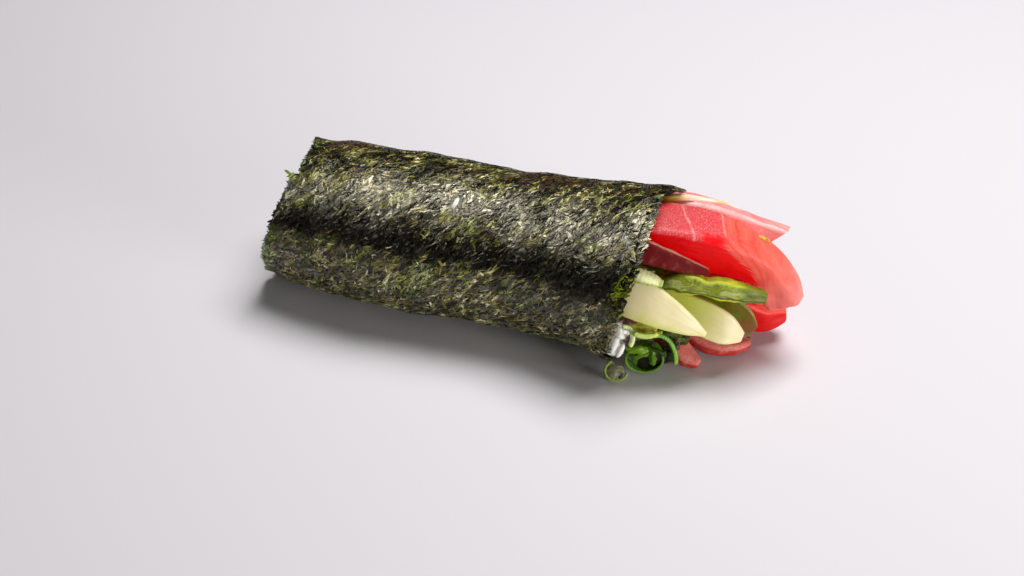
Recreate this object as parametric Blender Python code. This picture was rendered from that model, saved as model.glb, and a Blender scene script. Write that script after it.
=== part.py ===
"""A temaki hand roll lying on its side, as separate closed solids.

A sheet of roasted seaweed is rolled about 1.4 turns round a bed of rice and a bundle of
filling strips: tuna, cucumber, avocado, pickled radish and scallion. The strips run the
whole length of the roll and fan out and droop past its wider, right-hand end.

Lengths are in millimetres, turned into metres by MM where a mesh is made. The roll's axis
runs along +X towards the open end, +Z is up, and the floor is z = 0. Angles round the roll
are in degrees: 0 is the front (-Y), 90 the top, 180 the back.
"""

import math
from dataclasses import dataclass

import bmesh
import bpy
from mathutils import Vector

MM = 0.001

# The seaweed sheet, cut as half of a standard sheet, and the way it is rolled.
SHEET_WIDTH = 102.5
SHEET_TURNS = 1.378
SHEET_THICKNESS = 0.5
LAYER_GAP = 0.3
LAYER_PITCH = SHEET_THICKNESS + LAYER_GAP
SINK_START = 0.8
SEAM_ANGLE_LEFT = 64.0
SEAM_ANGLE_RIGHT = 104.0
SEAM_BEND = 1.8
SHEET_COLUMNS = 15
SHEET_ROWS = 54

# The roll's outer form: x along the axis, sideways offset of its centre, radius.
ROLL_STATIONS = (
    (0.0, -1.7, 19.2),
    (18.0, -3.4, 21.5),
    (40.0, -3.1, 22.4),
    (62.0, -0.4, 22.1),
    (75.0, 1.1, 22.1),
    (90.0, 1.2, 23.2),
    (108.0, -0.7, 25.0),
)
ROLL_SPREAD = 1.03
ROLL_SQUASH = 0.97
FLOOR_SINK = 0.6
FRONT_OF_ROLL = Vector((55.0, -24.0, 22.0))

# The slanting ends that a flat sheet gets when it is rolled into a slight cone.
EDGE_BACK = -1.5
EDGE_FRONT = 7.9
EDGE_ANGLE = 58.0
EDGE_SHARPNESS = 2.2
EDGE_DRIFT = 2.4
# A torn tip on the right-hand edge, near the top.
TIP_TURNS = 0.9
TIP_SPREAD = 0.045
TIP_LENGTH = 5.0

# The rice bed between the sheet and the bundle of fillings.
RICE_MEAN = 5.0
RICE_BIAS = 4.0
RICE_SEGMENTS = 28
RICE_COLUMNS = 12
RICE_LEFT_RECESS = 2.0
RICE_BUMP = 0.45
RICE_SLACK = 0.3
RICE_RIGHT = 98.0
RICE_REACH = 8.6
RICE_REACH_ANGLE = -25.0

# The bundle of fillings, laid out at the mouth and narrowed with the roll towards the left.
MOUTH_X = 108.0
BUNDLE_END = 104.0
BUNDLE_LEFT = 7.0
BUNDLE_STEPS = 5
CUT_SPACING = 4.0
CAP_DEPTH = 0.5
CAP_SHARE = 0.88
CLEARANCE = 0.3
# The rice lies inside two layers of sheet and their gaps.
DOUBLE_SHEET = 1.6

TUNA_RED = (0.70, 0.035, 0.03)
TUNA_PINK = (0.80, 0.16, 0.14)
TUNA_MAROON = (0.22, 0.02, 0.025)
SCALLION_GREEN = (0.07, 0.30, 0.03)
SCALLION_LIGHT = (0.22, 0.50, 0.05)
SCALLION_PALE = (0.45, 0.58, 0.16)
SCALLION_OLIVE = (0.28, 0.33, 0.08)
SEAWEED_GREEN = (0.025, 0.035, 0.015)
RICE_WHITE = (0.80, 0.80, 0.76)


@dataclass(frozen=True)
class Cut:
    """One cross-section of a strip: its centre, width, height and roll about its path."""

    x: float
    y: float
    z: float
    width: float
    height: float
    roll: float = 0.0

    def values(self):
        return (self.x, self.y, self.z, self.width, self.height, self.roll)


@dataclass(frozen=True)
class Strip:
    """A filling strip: its slot in the bundle at the mouth, and its cuts beyond the mouth."""

    name: str
    slot: tuple
    outside: tuple
    colour: tuple
    round_share: float = 0.25
    left: float = BUNDLE_LEFT


@dataclass(frozen=True)
class Band:
    """A slice of scallion: a band round part of an ellipse that faces along its axis."""

    name: str
    centre: tuple
    facing: tuple
    radii: tuple
    arc: tuple
    wall: float
    length: float
    colour: tuple


STRIPS = (
    Strip(
        "tuna_slice_front",
        (-0.2, 9.2, 14.4, 10.6, 0.0),
        (
            Cut(110.0, -0.4, 37.6, 15.6, 10.8, 1.0),
            Cut(117.0, 1.0, 37.2, 15.2, 11.4, 3.0),
            Cut(124.0, 3.6, 35.2, 14.2, 12.0, 6.0),
            Cut(131.0, 6.9, 31.6, 13.6, 11.8, 8.0),
            Cut(137.6, 10.4, 26.4, 12.6, 10.2, 8.0),
            Cut(143.2, 12.4, 21.2, 9.2, 7.4, 6.0),
            Cut(147.2, 13.4, 18.2, 4.2, 3.6, 4.0),
        ),
        TUNA_RED,
        0.2,
    ),
    Strip(
        "tuna_slice_back",
        (11.6, 5.0, 7.0, 9.0, 8.0),
        (
            Cut(112.0, 13.4, 33.6, 7.0, 9.2, -4.0),
            Cut(120.0, 15.5, 33.6, 7.0, 9.2, -14.0),
            Cut(128.0, 18.0, 32.4, 6.6, 8.4, -18.0),
            Cut(135.0, 19.4, 31.2, 5.2, 6.0, -16.0),
            Cut(141.0, 19.2, 31.7, 1.6, 1.8, -14.0),
        ),
        TUNA_PINK,
        0.2,
    ),
    Strip(
        "tuna_slice_low",
        (9.4, -5.6, 9.6, 9.6, 12.0),
        (
            Cut(112.0, 9.6, 20.4, 10.0, 9.6, 10.0),
            Cut(120.0, 11.0, 16.4, 10.6, 9.6, 6.0),
            Cut(128.0, 13.4, 11.0, 10.6, 9.8, 4.0),
            Cut(136.0, 16.8, 6.6, 10.0, 9.0, 2.0),
            Cut(142.4, 20.0, 5.2, 4.4, 4.6, 0.0),
        ),
        TUNA_RED,
        0.2,
    ),
    Strip(
        "tuna_slice_dark",
        (-10.8, 9.6, 3.2, 5.8, -32.0),
        (
            Cut(109.0, -11.6, 38.4, 3.2, 6.2, -28.0),
            Cut(116.0, -10.0, 36.4, 3.0, 5.4, -22.0),
            Cut(122.0, -7.4, 33.8, 2.4, 3.8, -18.0),
            Cut(127.0, -5.0, 31.8, 1.2, 1.6, -14.0),
        ),
        TUNA_MAROON,
    ),
    Strip(
        "tuna_end_left",
        (-3.9, -13.3, 6.2, 3.8, 8.0),
        (
            Cut(110.0, -4.0, 11.6, 6.4, 4.2, 8.0),
            Cut(116.5, -4.1, 6.8, 6.2, 4.4, 4.0),
            Cut(122.0, -5.0, 3.2, 6.0, 4.4, 0.0),
            Cut(126.0, -5.6, 2.0, 2.6, 2.4, 0.0),
        ),
        TUNA_MAROON,
        0.3,
    ),
    Strip(
        "tuna_end_right",
        (3.7, -13.5, 6.6, 3.8, -6.0),
        (
            Cut(110.0, 3.2, 11.6, 6.6, 4.2, -6.0),
            Cut(118.0, 3.3, 7.2, 6.6, 4.6, -2.0),
            Cut(126.0, 2.9, 3.7, 7.2, 4.6, 0.0),
            Cut(132.0, 5.6, 2.6, 5.6, 3.8, 0.0),
            Cut(135.4, 8.8, 2.2, 2.4, 2.2, 0.0),
        ),
        TUNA_MAROON,
        0.3,
    ),
    Strip(
        "cucumber_stick_front",
        (-12.7, -2.3, 5.0, 10.0, -18.0),
        (
            Cut(108.0, -14.9, 26.2, 5.2, 11.0, -20.0),
            Cut(113.5, -14.6, 24.6, 5.2, 10.8, -24.0),
            Cut(119.0, -12.9, 21.3, 4.8, 8.6, -26.0),
            Cut(124.0, -11.2, 18.1, 3.8, 5.4, -28.0),
            Cut(128.0, -9.8, 15.6, 2.0, 1.6, -30.0),
        ),
        (0.72, 0.74, 0.38),
        0.18,
    ),
    Strip(
        "cucumber_stick_rear",
        (-5.0, -6.0, 6.8, 7.6, -24.0),
        (
            Cut(110.0, -5.8, 20.6, 6.6, 8.8, -26.0),
            Cut(119.0, -5.4, 18.8, 6.0, 9.2, -28.0),
            Cut(127.0, -4.2, 16.0, 5.4, 9.4, -30.0),
            Cut(132.0, -2.8, 13.2, 4.8, 8.0, -32.0),
            Cut(136.0, -1.4, 11.0, 2.4, 3.2, -34.0),
        ),
        (0.66, 0.70, 0.28),
        0.18,
    ),
    Strip(
        "cucumber_peel_slice",
        (1.4, -5.8, 2.2, 9.0, -6.0),
        (
            Cut(110.0, 1.4, 20.8, 2.2, 9.2, -10.0),
            Cut(120.0, 2.0, 19.2, 2.2, 9.4, -14.0),
            Cut(129.0, 2.8, 15.8, 2.2, 9.0, -18.0),
            Cut(134.4, 4.0, 12.4, 2.0, 7.4, -20.0),
            Cut(137.4, 4.8, 9.6, 1.2, 3.0, -22.0),
        ),
        (0.16, 0.20, 0.02),
    ),
    Strip(
        "avocado_slice",
        (-6.0, 0.7, 5.2, 3.8, -4.0),
        (
            Cut(111.0, -7.2, 29.0, 4.8, 3.8, -6.0),
            Cut(118.0, -7.9, 29.5, 4.6, 4.0, -8.0),
            Cut(126.0, -6.2, 28.6, 4.6, 4.0, -8.0),
            Cut(134.0, -2.2, 26.2, 4.4, 4.0, -8.0),
            Cut(140.6, 2.4, 23.4, 4.0, 3.6, -8.0),
        ),
        (0.20, 0.34, 0.05),
    ),
    Strip(
        "scallion_strip",
        (-12.0, 5.0, 4.0, 1.5, -14.0),
        (
            Cut(110.0, -14.2, 33.4, 4.0, 1.5, -10.0),
            Cut(114.6, -13.4, 32.0, 3.6, 1.4, -8.0),
            Cut(117.2, -12.4, 30.8, 2.4, 0.9, -6.0),
        ),
        (0.42, 0.52, 0.22),
        0.4,
    ),
    Strip(
        "radish_strip",
        (10.6, 12.0, 4.2, 1.8, -30.0),
        (
            Cut(112.0, 11.8, 41.6, 4.2, 1.8, -26.0),
            Cut(119.0, 16.0, 40.2, 3.8, 1.4, -24.0),
            Cut(126.0, 21.0, 37.3, 3.0, 1.1, -24.0),
            Cut(131.0, 23.6, 35.0, 2.0, 0.9, -24.0),
        ),
        (0.85, 0.55, 0.08),
    ),
)

# All the scallion slices but the largest lie roughly square to this direction.
OPEN_SIDE = (0.33, -0.75, 0.57)

BANDS = (
    Band(
        name="scallion_ring_large",
        centre=(113.2, -13.5, 4.9),
        facing=(0.40, -0.92, 0.0),
        radii=(5.3, 4.4),
        arc=(0, 360),
        wall=0.7,
        length=3.6,
        colour=SCALLION_GREEN,
    ),
    Band(
        name="scallion_curl",
        centre=(117.1, -13.2, 6.2),
        facing=(0.52, -0.70, 0.48),
        radii=(5.4, 7.0),
        arc=(-20, 100),
        wall=1.2,
        length=2.2,
        colour=SCALLION_LIGHT,
    ),
    Band(
        name="scallion_ring_pale",
        centre=(109.7, -19.6, 15.5),
        facing=(0.45, -0.75, 0.48),
        radii=(2.8, 3.4),
        arc=(-60, 100),
        wall=1.2,
        length=2.0,
        colour=SCALLION_PALE,
    ),
    Band(
        name="scallion_ring_side",
        centre=(115.5, -15.3, 22.8),
        facing=OPEN_SIDE,
        radii=(8.0, 7.6),
        arc=(-118, -66),
        wall=1.4,
        length=2.4,
        colour=SCALLION_PALE,
    ),
    Band(
        name="scallion_ring_low",
        centre=(107.4, -19.4, 3.8),
        facing=OPEN_SIDE,
        radii=(3.3, 3.0),
        arc=(110, 350),
        wall=0.7,
        length=2.2,
        colour=SCALLION_OLIVE,
    ),
)


def smooth_step(value):
    value = min(max(value, 0.0), 1.0)
    return value * value * (3.0 - 2.0 * value)


def interpolated(rows, at):
    """Values of the rows, whose first entry is the position, on a smooth curve through them."""
    last = len(rows) - 2
    index = 0
    while index < last and rows[index + 1][0] < at:
        index += 1
    before = rows[max(index - 1, 0)]
    start, end = rows[index], rows[index + 1]
    after = rows[min(index + 2, last + 1)]
    share = min(max((at - start[0]) / (end[0] - start[0]), 0.0), 1.0)
    span = end[0] - start[0]
    found = []
    for k in range(1, len(start)):
        slope_start = (end[k] - before[k]) / (end[0] - before[0]) * span
        slope_end = (after[k] - start[k]) / (after[0] - start[0]) * span
        h1 = 2 * share**3 - 3 * share**2 + 1
        h2 = share**3 - 2 * share**2 + share
        h3 = 3 * share**2 - 2 * share**3
        h4 = share**3 - share**2
        found.append(h1 * start[k] + h2 * slope_start + h3 * end[k] + h4 * slope_end)
    return found


def roll_at(x):
    """Sideways offset, centre height and radius of the roll at x."""
    y, radius = interpolated(ROLL_STATIONS, x)
    return y, radius * ROLL_SQUASH - FLOOR_SINK, radius


def roll_point(x, angle, radius, floor=0.0):
    """A point at this angle and radius about the roll's axis, no lower than the floor."""
    y, z, _ = roll_at(x)
    turn = math.radians(angle)
    across = -radius * ROLL_SPREAD * math.cos(turn)
    up = radius * ROLL_SQUASH * math.sin(turn)
    return Vector((x, y + across, max(z + up, floor)))


def seam_angle(x):
    share = min(max(x / MOUTH_X, 0.0), 1.0)
    return SEAM_ANGLE_LEFT + (SEAM_ANGLE_RIGHT - SEAM_ANGLE_LEFT) * share**SEAM_BEND


def sheet_left(angle, turns):
    """Where the sheet's left edge lies along the roll."""
    facing = (1.0 + math.cos(math.radians(angle - EDGE_ANGLE))) / 2.0
    slant = EDGE_BACK + (EDGE_FRONT - EDGE_BACK) * facing**EDGE_SHARPNESS
    return slant + EDGE_DRIFT * turns


def sheet_wave(x, angle):
    """The shallow dents and swells of a sheet pressed onto rice."""
    turn = math.radians(angle)
    return (
        0.22 * math.sin(0.21 * x + 2.0 * turn)
        + 0.18 * math.sin(0.34 * x - 3.0 * turn + 1.3)
        + 0.10 * math.sin(0.55 * x + 5.0 * turn + 0.4)
    )


def ragged(turns, phase):
    """The torn edge's unevenness."""
    return 0.35 * math.sin(31.0 * turns + phase) + 0.25 * math.sin(57.0 * turns + 2.1 * phase)


def make_material(name, colour, roughness):
    material = bpy.data.materials.new(name)
    material.use_nodes = True
    shader = material.node_tree.nodes["Principled BSDF"]
    shader.inputs["Base Color"].default_value = (*colour, 1.0)
    shader.inputs["Roughness"].default_value = roughness
    shader.inputs["Metallic"].default_value = 0.0
    return material


def add_object(name, mesh_builder, colour, roughness):
    """Turns a bmesh in millimetres into a named object in metres."""
    bmesh.ops.recalc_face_normals(mesh_builder, faces=mesh_builder.faces[:])
    bmesh.ops.scale(mesh_builder, vec=(MM, MM, MM), verts=mesh_builder.verts[:])
    mesh = bpy.data.meshes.new(name)
    mesh_builder.to_mesh(mesh)
    mesh_builder.free()
    mesh.shade_smooth()
    obj = bpy.data.objects.new(name, mesh)
    obj.data.materials.append(make_material(name, colour, roughness))
    bpy.context.scene.collection.objects.link(obj)
    return obj


def add_sheet():
    """The seaweed: a flat grid rolled into a spiral, then given its thickness inwards."""
    bm = bmesh.new()
    bmesh.ops.create_grid(bm, x_segments=SHEET_COLUMNS, y_segments=SHEET_ROWS, size=0.5)
    for vert in bm.verts:
        along, turns = vert.co.x + 0.5, (vert.co.y + 0.5) * SHEET_TURNS
        x = along * MOUTH_X
        for _ in range(3):
            angle = seam_angle(x) - 360.0 * turns
            left = sheet_left(angle, turns) + ragged(turns, 0.0)
            tip = TIP_LENGTH * math.exp(-(((turns - TIP_TURNS) / TIP_SPREAD) ** 2))
            right = sheet_left(angle, turns) + SHEET_WIDTH + ragged(turns, 1.7) + tip
            x = left + (right - left) * along
        sink = LAYER_PITCH * smooth_step((turns - SINK_START) / (1.0 - SINK_START))
        radius = roll_at(x)[2] + sheet_wave(x, angle) - sink
        vert.co = roll_point(x, angle, radius)
    bmesh.ops.recalc_face_normals(bm, faces=bm.faces[:])
    front = min(bm.faces, key=lambda face: (face.calc_center_median() - FRONT_OF_ROLL).length)
    if front.normal.y > 0.0:
        bmesh.ops.reverse_faces(bm, faces=bm.faces[:])
    bm.normal_update()
    outside = list(bm.verts)
    copied = bmesh.ops.duplicate(bm, geom=bm.verts[:] + bm.edges[:] + bm.faces[:])
    for vert in outside:
        copied["vert_map"][vert].co = vert.co - vert.normal * SHEET_THICKNESS
    inner = [item for item in copied["geom"] if isinstance(item, bmesh.types.BMFace)]
    bmesh.ops.reverse_faces(bm, faces=inner)
    bmesh.ops.bridge_loops(bm, edges=[edge for edge in bm.edges if edge.is_boundary])
    return add_object("nori_wrap", bm, SEAWEED_GREEN, 0.45)


def rice_outer(x, angle):
    """Radius of the rice where it meets the sheet, which lies double over part of the turn."""
    past_seam = (seam_angle(x) - angle) % 360.0 / 360.0
    overlap = SHEET_TURNS - 1.0
    tail = 1.0 - smooth_step((past_seam - overlap - 0.005) / 0.025)
    sinking = smooth_step((past_seam - SINK_START) / (1.0 - SINK_START))
    layers = 1.0 + max(tail, sinking)
    return roll_at(x)[2] + sheet_wave(x, angle) - LAYER_PITCH * layers - RICE_SLACK


def rice_inner(x, angle):
    """Radius of the hollow that the bundle of fillings lies in, about the roll's axis."""
    return roll_at(x)[2] - DOUBLE_SHEET - RICE_MEAN + RICE_BIAS * math.sin(math.radians(angle))


def rice_end(angle, left):
    turn = math.radians(angle)
    bump = RICE_BUMP * (math.sin(5.0 * turn + 0.7) + math.sin(9.0 * turn + 2.0))
    if left:
        return sheet_left(angle, 0.5) + RICE_LEFT_RECESS + bump
    low_front = smooth_step((1.0 + math.cos(math.radians(angle - RICE_REACH_ANGLE))) / 2.0)
    return RICE_RIGHT + RICE_REACH * low_front + bump


def add_rice():
    """The rice bed: a thick tube whose hollow sits high, so the rice is deepest underneath."""
    bm = bmesh.new()
    bmesh.ops.create_grid(bm, x_segments=2 * RICE_COLUMNS, y_segments=RICE_SEGMENTS, size=0.5)
    steps = 2 * RICE_COLUMNS
    for vert in bm.verts:
        index = round((vert.co.x + 0.5) * steps)
        angle = (vert.co.y + 0.5) * 360.0
        outward = index <= RICE_COLUMNS
        share = index / RICE_COLUMNS if outward else (steps - index) / (RICE_COLUMNS - 1)
        share = min(share, 1.0)
        left, right = rice_end(angle, True), rice_end(angle, False)
        x = left + (right - left) * share
        radius = rice_outer(x, angle) if outward else rice_inner(x, angle)
        floor = SHEET_THICKNESS + CLEARANCE if outward else 0.0
        vert.co = roll_point(x, angle, radius, floor)
    bmesh.ops.remove_doubles(bm, verts=bm.verts[:], dist=0.0001)
    bmesh.ops.bridge_loops(bm, edges=[edge for edge in bm.edges if edge.is_boundary])
    return add_object("rice_bed", bm, RICE_WHITE, 0.4)


def bundle_cut(slot, x):
    """The strip's section inside the roll, where the bundle narrows with the sheet."""
    across, up, width, height, roll = slot
    y, z, radius = roll_at(x)
    rind = DOUBLE_SHEET + RICE_MEAN
    scale = (radius - rind) / (roll_at(MOUTH_X)[2] - rind)
    centre = z + RICE_BIAS * ROLL_SQUASH
    return Cut(x, y + across * scale, centre + up * scale, width * scale, height * scale, roll)


def rounded_section(width, height, share):
    """Corners of a rounded rectangle, three to a corner, anticlockwise."""
    radius = share * min(width, height)
    points = []
    for corner, (sign_x, sign_y) in enumerate(((1, -1), (1, 1), (-1, 1), (-1, -1))):
        cx = sign_x * (width / 2 - radius)
        cy = sign_y * (height / 2 - radius)
        for step in range(3):
            turn = math.radians(90.0 * corner - 90.0 + 45.0 * step)
            points.append((cx + radius * math.cos(turn), cy + radius * math.sin(turn)))
    return points


def refined(cuts, spacing):
    """Cuts on a smooth path through the given ones, at most this far apart."""
    rows, travelled = [], 0.0
    for index, cut in enumerate(cuts):
        if index:
            step = Vector(cut.values()[:3]) - Vector(cuts[index - 1].values()[:3])
            travelled += step.length
        rows.append((travelled, *cut.values()))
    found = []
    for start, end in zip(rows, rows[1:]):
        count = max(1, round((end[0] - start[0]) / spacing))
        found += [start[0] + (end[0] - start[0]) * k / count for k in range(count)]
    found.append(rows[-1][0])
    return [Cut(*interpolated(rows, at)) for at in found]


def loft(cuts, round_share):
    """A closed body through the cuts, extruded ring by ring from its first cap."""
    bm = bmesh.new()
    order = bm.verts.layers.int.new("order")
    count = len(rounded_section(1.0, 1.0, round_share))
    bmesh.ops.create_circle(bm, cap_ends=True, segments=count, radius=1.0)
    for index, vert in enumerate(bm.verts):
        vert[order] = index
    cap = next(iter(bm.faces))
    for number, cut in enumerate(cuts):
        if number:
            made = bmesh.ops.extrude_face_region(bm, geom=[cap])
            if number > 1:
                bm.faces.remove(cap)
            cap = next(item for item in made["geom"] if isinstance(item, bmesh.types.BMFace))
        before = Vector(cuts[max(number - 1, 0)].values()[:3])
        after = Vector(cuts[min(number + 1, len(cuts) - 1)].values()[:3])
        along = (after - before).normalized()
        side = Vector((0.0, 0.0, 1.0)).cross(along).normalized()
        up = along.cross(side)
        turn = math.radians(cut.roll)
        across = side * math.cos(turn) + up * math.sin(turn)
        upward = up * math.cos(turn) - side * math.sin(turn)
        section = rounded_section(cut.width, cut.height, round_share)
        for vert in cap.verts:
            a, b = section[vert[order]]
            vert.co = Vector((cut.x, cut.y, cut.z)) + across * a + upward * b
    return bm


def add_strip(strip):
    inside = []
    for step in range(BUNDLE_STEPS + 1):
        x = strip.left + (BUNDLE_END - strip.left) * step / BUNDLE_STEPS
        inside.append(bundle_cut(strip.slot, x))
    outside = refined([inside[-1], *strip.outside], CUT_SPACING)
    first = inside[0]
    start = Cut(
        first.x - CAP_DEPTH,
        first.y,
        first.z,
        first.width * CAP_SHARE,
        first.height * CAP_SHARE,
        first.roll,
    )
    bm = loft([start, *inside[:-1], *outside], strip.round_share)
    return add_object(strip.name, bm, strip.colour, 0.35)


def add_band(band):
    """A curved slice of scallion wall: an arc of an ellipse, with its wall inwards."""
    facing = Vector(band.facing).normalized()
    right = Vector((0.0, 0.0, 1.0)).cross(facing).normalized()
    up = facing.cross(right)
    start, end = band.arc
    whole = end - start >= 360
    steps = max(6, round((end - start) / 18))
    bm = bmesh.new()
    rings = []
    for step in range(steps if whole else steps + 1):
        turn = math.radians(start + (end - start) * step / steps)
        radial = right * math.cos(turn) * band.radii[0] + up * math.sin(turn) * band.radii[1]
        inward = radial.normalized() * band.wall
        corners = []
        for depth, offset in ((0.0, 0.0), (0.0, 1.0), (1.0, 1.0), (1.0, 0.0)):
            spot = Vector(band.centre) + radial - inward * offset - facing * band.length * depth
            corners.append(bm.verts.new(spot))
        rings.append(corners)
    pairs = list(zip(rings, rings[1:])) + ([(rings[-1], rings[0])] if whole else [])
    for one, other in pairs:
        for k in range(4):
            bm.faces.new((one[k], one[(k + 1) % 4], other[(k + 1) % 4], other[k]))
    if not whole:
        bm.faces.new(rings[0])
        bm.faces.new(rings[-1])
    return add_object(band.name, bm, band.colour, 0.35)


def centre_on_footprint(objects):
    """Moves the meshes so that the middle of their footprint is the origin."""
    corners = [vert.co for obj in objects for vert in obj.data.vertices]
    middle_x = (min(c.x for c in corners) + max(c.x for c in corners)) / 2
    middle_y = (min(c.y for c in corners) + max(c.y for c in corners)) / 2
    for obj in objects:
        for vert in obj.data.vertices:
            vert.co.x -= middle_x
            vert.co.y -= middle_y


def main():
    for obj in list(bpy.data.objects):
        bpy.data.objects.remove(obj, do_unlink=True)
    objects = [add_sheet(), add_rice()]
    objects += [add_strip(strip) for strip in STRIPS]
    objects += [add_band(band) for band in BANDS]
    centre_on_footprint(objects)


main()
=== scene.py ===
"""The looks of a temaki hand roll that lies on its side.

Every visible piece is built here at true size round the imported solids: the seaweed sheet and the
flakes pressed into it, the cooked rice, the filling strips, the scallion slices and the crumbs.

Lengths are in millimetres in the roll's own frame: +X runs along the axis towards the open end,
+Z is up, the floor is z = 0, and x = 0 is where the sheet starts. Angles round the roll are in
degrees: 0 is the front (-Y), 90 the top, 180 the back. A finished mesh is in metres, in the
shared frame.
"""

import sys

import logging
import math
from dataclasses import astuple, dataclass, field
from enum import Enum
from typing import Iterable, Optional, Sequence, Union

import bmesh
import bpy
import numpy as np
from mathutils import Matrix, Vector

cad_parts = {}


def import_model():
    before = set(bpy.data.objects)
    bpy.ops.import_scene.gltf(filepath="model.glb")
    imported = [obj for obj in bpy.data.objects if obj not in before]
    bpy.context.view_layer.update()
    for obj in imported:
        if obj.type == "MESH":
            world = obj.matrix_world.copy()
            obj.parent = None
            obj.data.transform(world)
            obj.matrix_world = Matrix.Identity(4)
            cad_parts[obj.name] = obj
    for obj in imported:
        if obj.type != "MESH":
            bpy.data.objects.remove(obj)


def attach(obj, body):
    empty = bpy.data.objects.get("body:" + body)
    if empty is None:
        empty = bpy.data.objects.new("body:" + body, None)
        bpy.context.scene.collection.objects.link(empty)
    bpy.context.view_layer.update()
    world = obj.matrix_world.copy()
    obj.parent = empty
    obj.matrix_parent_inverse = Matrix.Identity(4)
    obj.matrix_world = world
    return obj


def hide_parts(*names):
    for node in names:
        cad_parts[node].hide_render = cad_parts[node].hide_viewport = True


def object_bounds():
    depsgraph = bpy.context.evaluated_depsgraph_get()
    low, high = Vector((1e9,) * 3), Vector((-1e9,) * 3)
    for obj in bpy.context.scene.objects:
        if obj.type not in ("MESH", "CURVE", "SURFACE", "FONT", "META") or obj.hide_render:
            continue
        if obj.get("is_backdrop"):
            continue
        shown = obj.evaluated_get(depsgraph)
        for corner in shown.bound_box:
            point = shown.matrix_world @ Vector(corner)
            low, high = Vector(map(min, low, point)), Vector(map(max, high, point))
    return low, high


Array = np.ndarray
Colour = tuple[float, float, float]
Number = Union[float, "Signal"]
Paint = Union[Colour, "Signal"]

LOG = logging.getLogger("hand_roll")
MM = 0.001
BODY = "root"
FOOTPRINT_MIDDLE = (73.8957, -0.6971, 0.0)


class Slot(Enum):
    """The record's material slots."""

    NORI = "nori"
    RICE = "rice"
    TUNA = "tuna"
    TUNA_DARK = "tuna_dark"
    CUCUMBER = "cucumber"
    CUCUMBER_PEEL = "cucumber_peel"
    AVOCADO = "avocado"
    SCALLION = "scallion"
    SCALLION_PALE = "scallion_pale"
    RADISH = "radish"


def tone(red: int, green: int, blue: int) -> Colour:
    """A linear colour from display values of 0 to 255."""
    shares = [value / 255.0 for value in (red, green, blue)]
    return tuple(s / 12.92 if s < 0.04045 else ((s + 0.055) / 1.055) ** 2.4 for s in shares)


# ------------ numbers


def smooth_step(value: Array) -> Array:
    """0 below 0, 1 above 1, and a smooth rise between."""
    share = np.clip(value, 0.0, 1.0)
    return share * share * (3.0 - 2.0 * share)


def hump(value: Array, middle: Union[float, Array], width: Union[float, Array]) -> Array:
    """1 at the middle, falling away on both sides over this width."""
    return np.exp(-(((value - middle) / width) ** 2))


def interpolated(rows: Sequence[Sequence[float]], at: Array) -> Array:
    """Values on a smooth curve through rows.

    Args:
        rows: The position and then the values of each row, in order of position.
        at: Positions to read the curve at.

    Returns:
        One line of values for each column after the position.
    """
    table = np.array(rows, float)
    at = np.asarray(at, float)
    keys = table[:, 0]
    last = len(keys) - 1
    one = np.clip(np.searchsorted(keys, at, side="left") - 1, 0, last - 1)
    two = one + 1
    before, after = np.maximum(one - 1, 0), np.minimum(two + 1, last)
    span = keys[two] - keys[one]
    share = np.clip((at - keys[one]) / span, 0.0, 1.0)[:, None]
    first = (table[two] - table[before]) / (keys[two] - keys[before])[:, None]
    second = (table[after] - table[one]) / (keys[after] - keys[one])[:, None]
    cube, square = share**3, share**2
    found = (
        (2 * cube - 3 * square + 1) * table[one]
        + (cube - 2 * square + share) * first * span[:, None]
        + (3 * square - 2 * cube) * table[two]
        + (cube - square) * second * span[:, None]
    )
    return found[:, 1:].T


def value_noise(x: Array, y: Array, seed: float) -> Array:
    """A smooth random field from -1 to 1 with one cell per unit."""
    x, y = np.broadcast_arrays(np.asarray(x, float), np.asarray(y, float))
    cell_x, cell_y = np.floor(x), np.floor(y)
    share_x, share_y = smooth_step(x - cell_x), smooth_step(y - cell_y)

    def corner(step_x: int, step_y: int) -> Array:
        """The random value at one corner of each cell."""
        mixed = np.sin((cell_x + step_x) * 127.1 + (cell_y + step_y) * 311.7 + seed * 74.7)
        mixed = mixed * 43758.5453
        return (mixed - np.floor(mixed)) * 2.0 - 1.0

    low = corner(0, 0) * (1 - share_x) + corner(1, 0) * share_x
    high = corner(0, 1) * (1 - share_x) + corner(1, 1) * share_x
    return low * (1 - share_y) + high * share_y


def units(vectors: Array) -> Array:
    """The vectors at length 1."""
    return vectors / np.maximum(np.linalg.norm(vectors, axis=-1, keepdims=True), 1e-9)


# ------------ shader maths


class Signal:
    """A shader socket whose Python operators add Math nodes."""

    def __init__(self, kit: "NodeKit", socket: bpy.types.NodeSocket) -> None:
        self.kit = kit
        self.socket = socket

    def __add__(self, other: Number) -> "Signal":
        """self + other."""
        return self.kit.math("ADD", self, other)

    def __radd__(self, other: Number) -> "Signal":
        """other + self."""
        return self.kit.math("ADD", other, self)

    def __sub__(self, other: Number) -> "Signal":
        """self - other."""
        return self.kit.math("SUBTRACT", self, other)

    def __rsub__(self, other: Number) -> "Signal":
        """other - self."""
        return self.kit.math("SUBTRACT", other, self)

    def __mul__(self, other: Number) -> "Signal":
        """self * other."""
        return self.kit.math("MULTIPLY", self, other)

    def __abs__(self) -> "Signal":
        """The value without its sign."""
        return self.kit.math("ABSOLUTE", self)

    def rise(self, low: float, high: float) -> "Signal":
        """0 at low, 1 at high, smooth between. Low may be the larger of the two."""
        return self.kit.add(
            "ShaderNodeMapRange",
            {"interpolation_type": "SMOOTHSTEP"},
            {"Value": self, "From Min": low, "From Max": high},
            "Result",
        )


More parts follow.
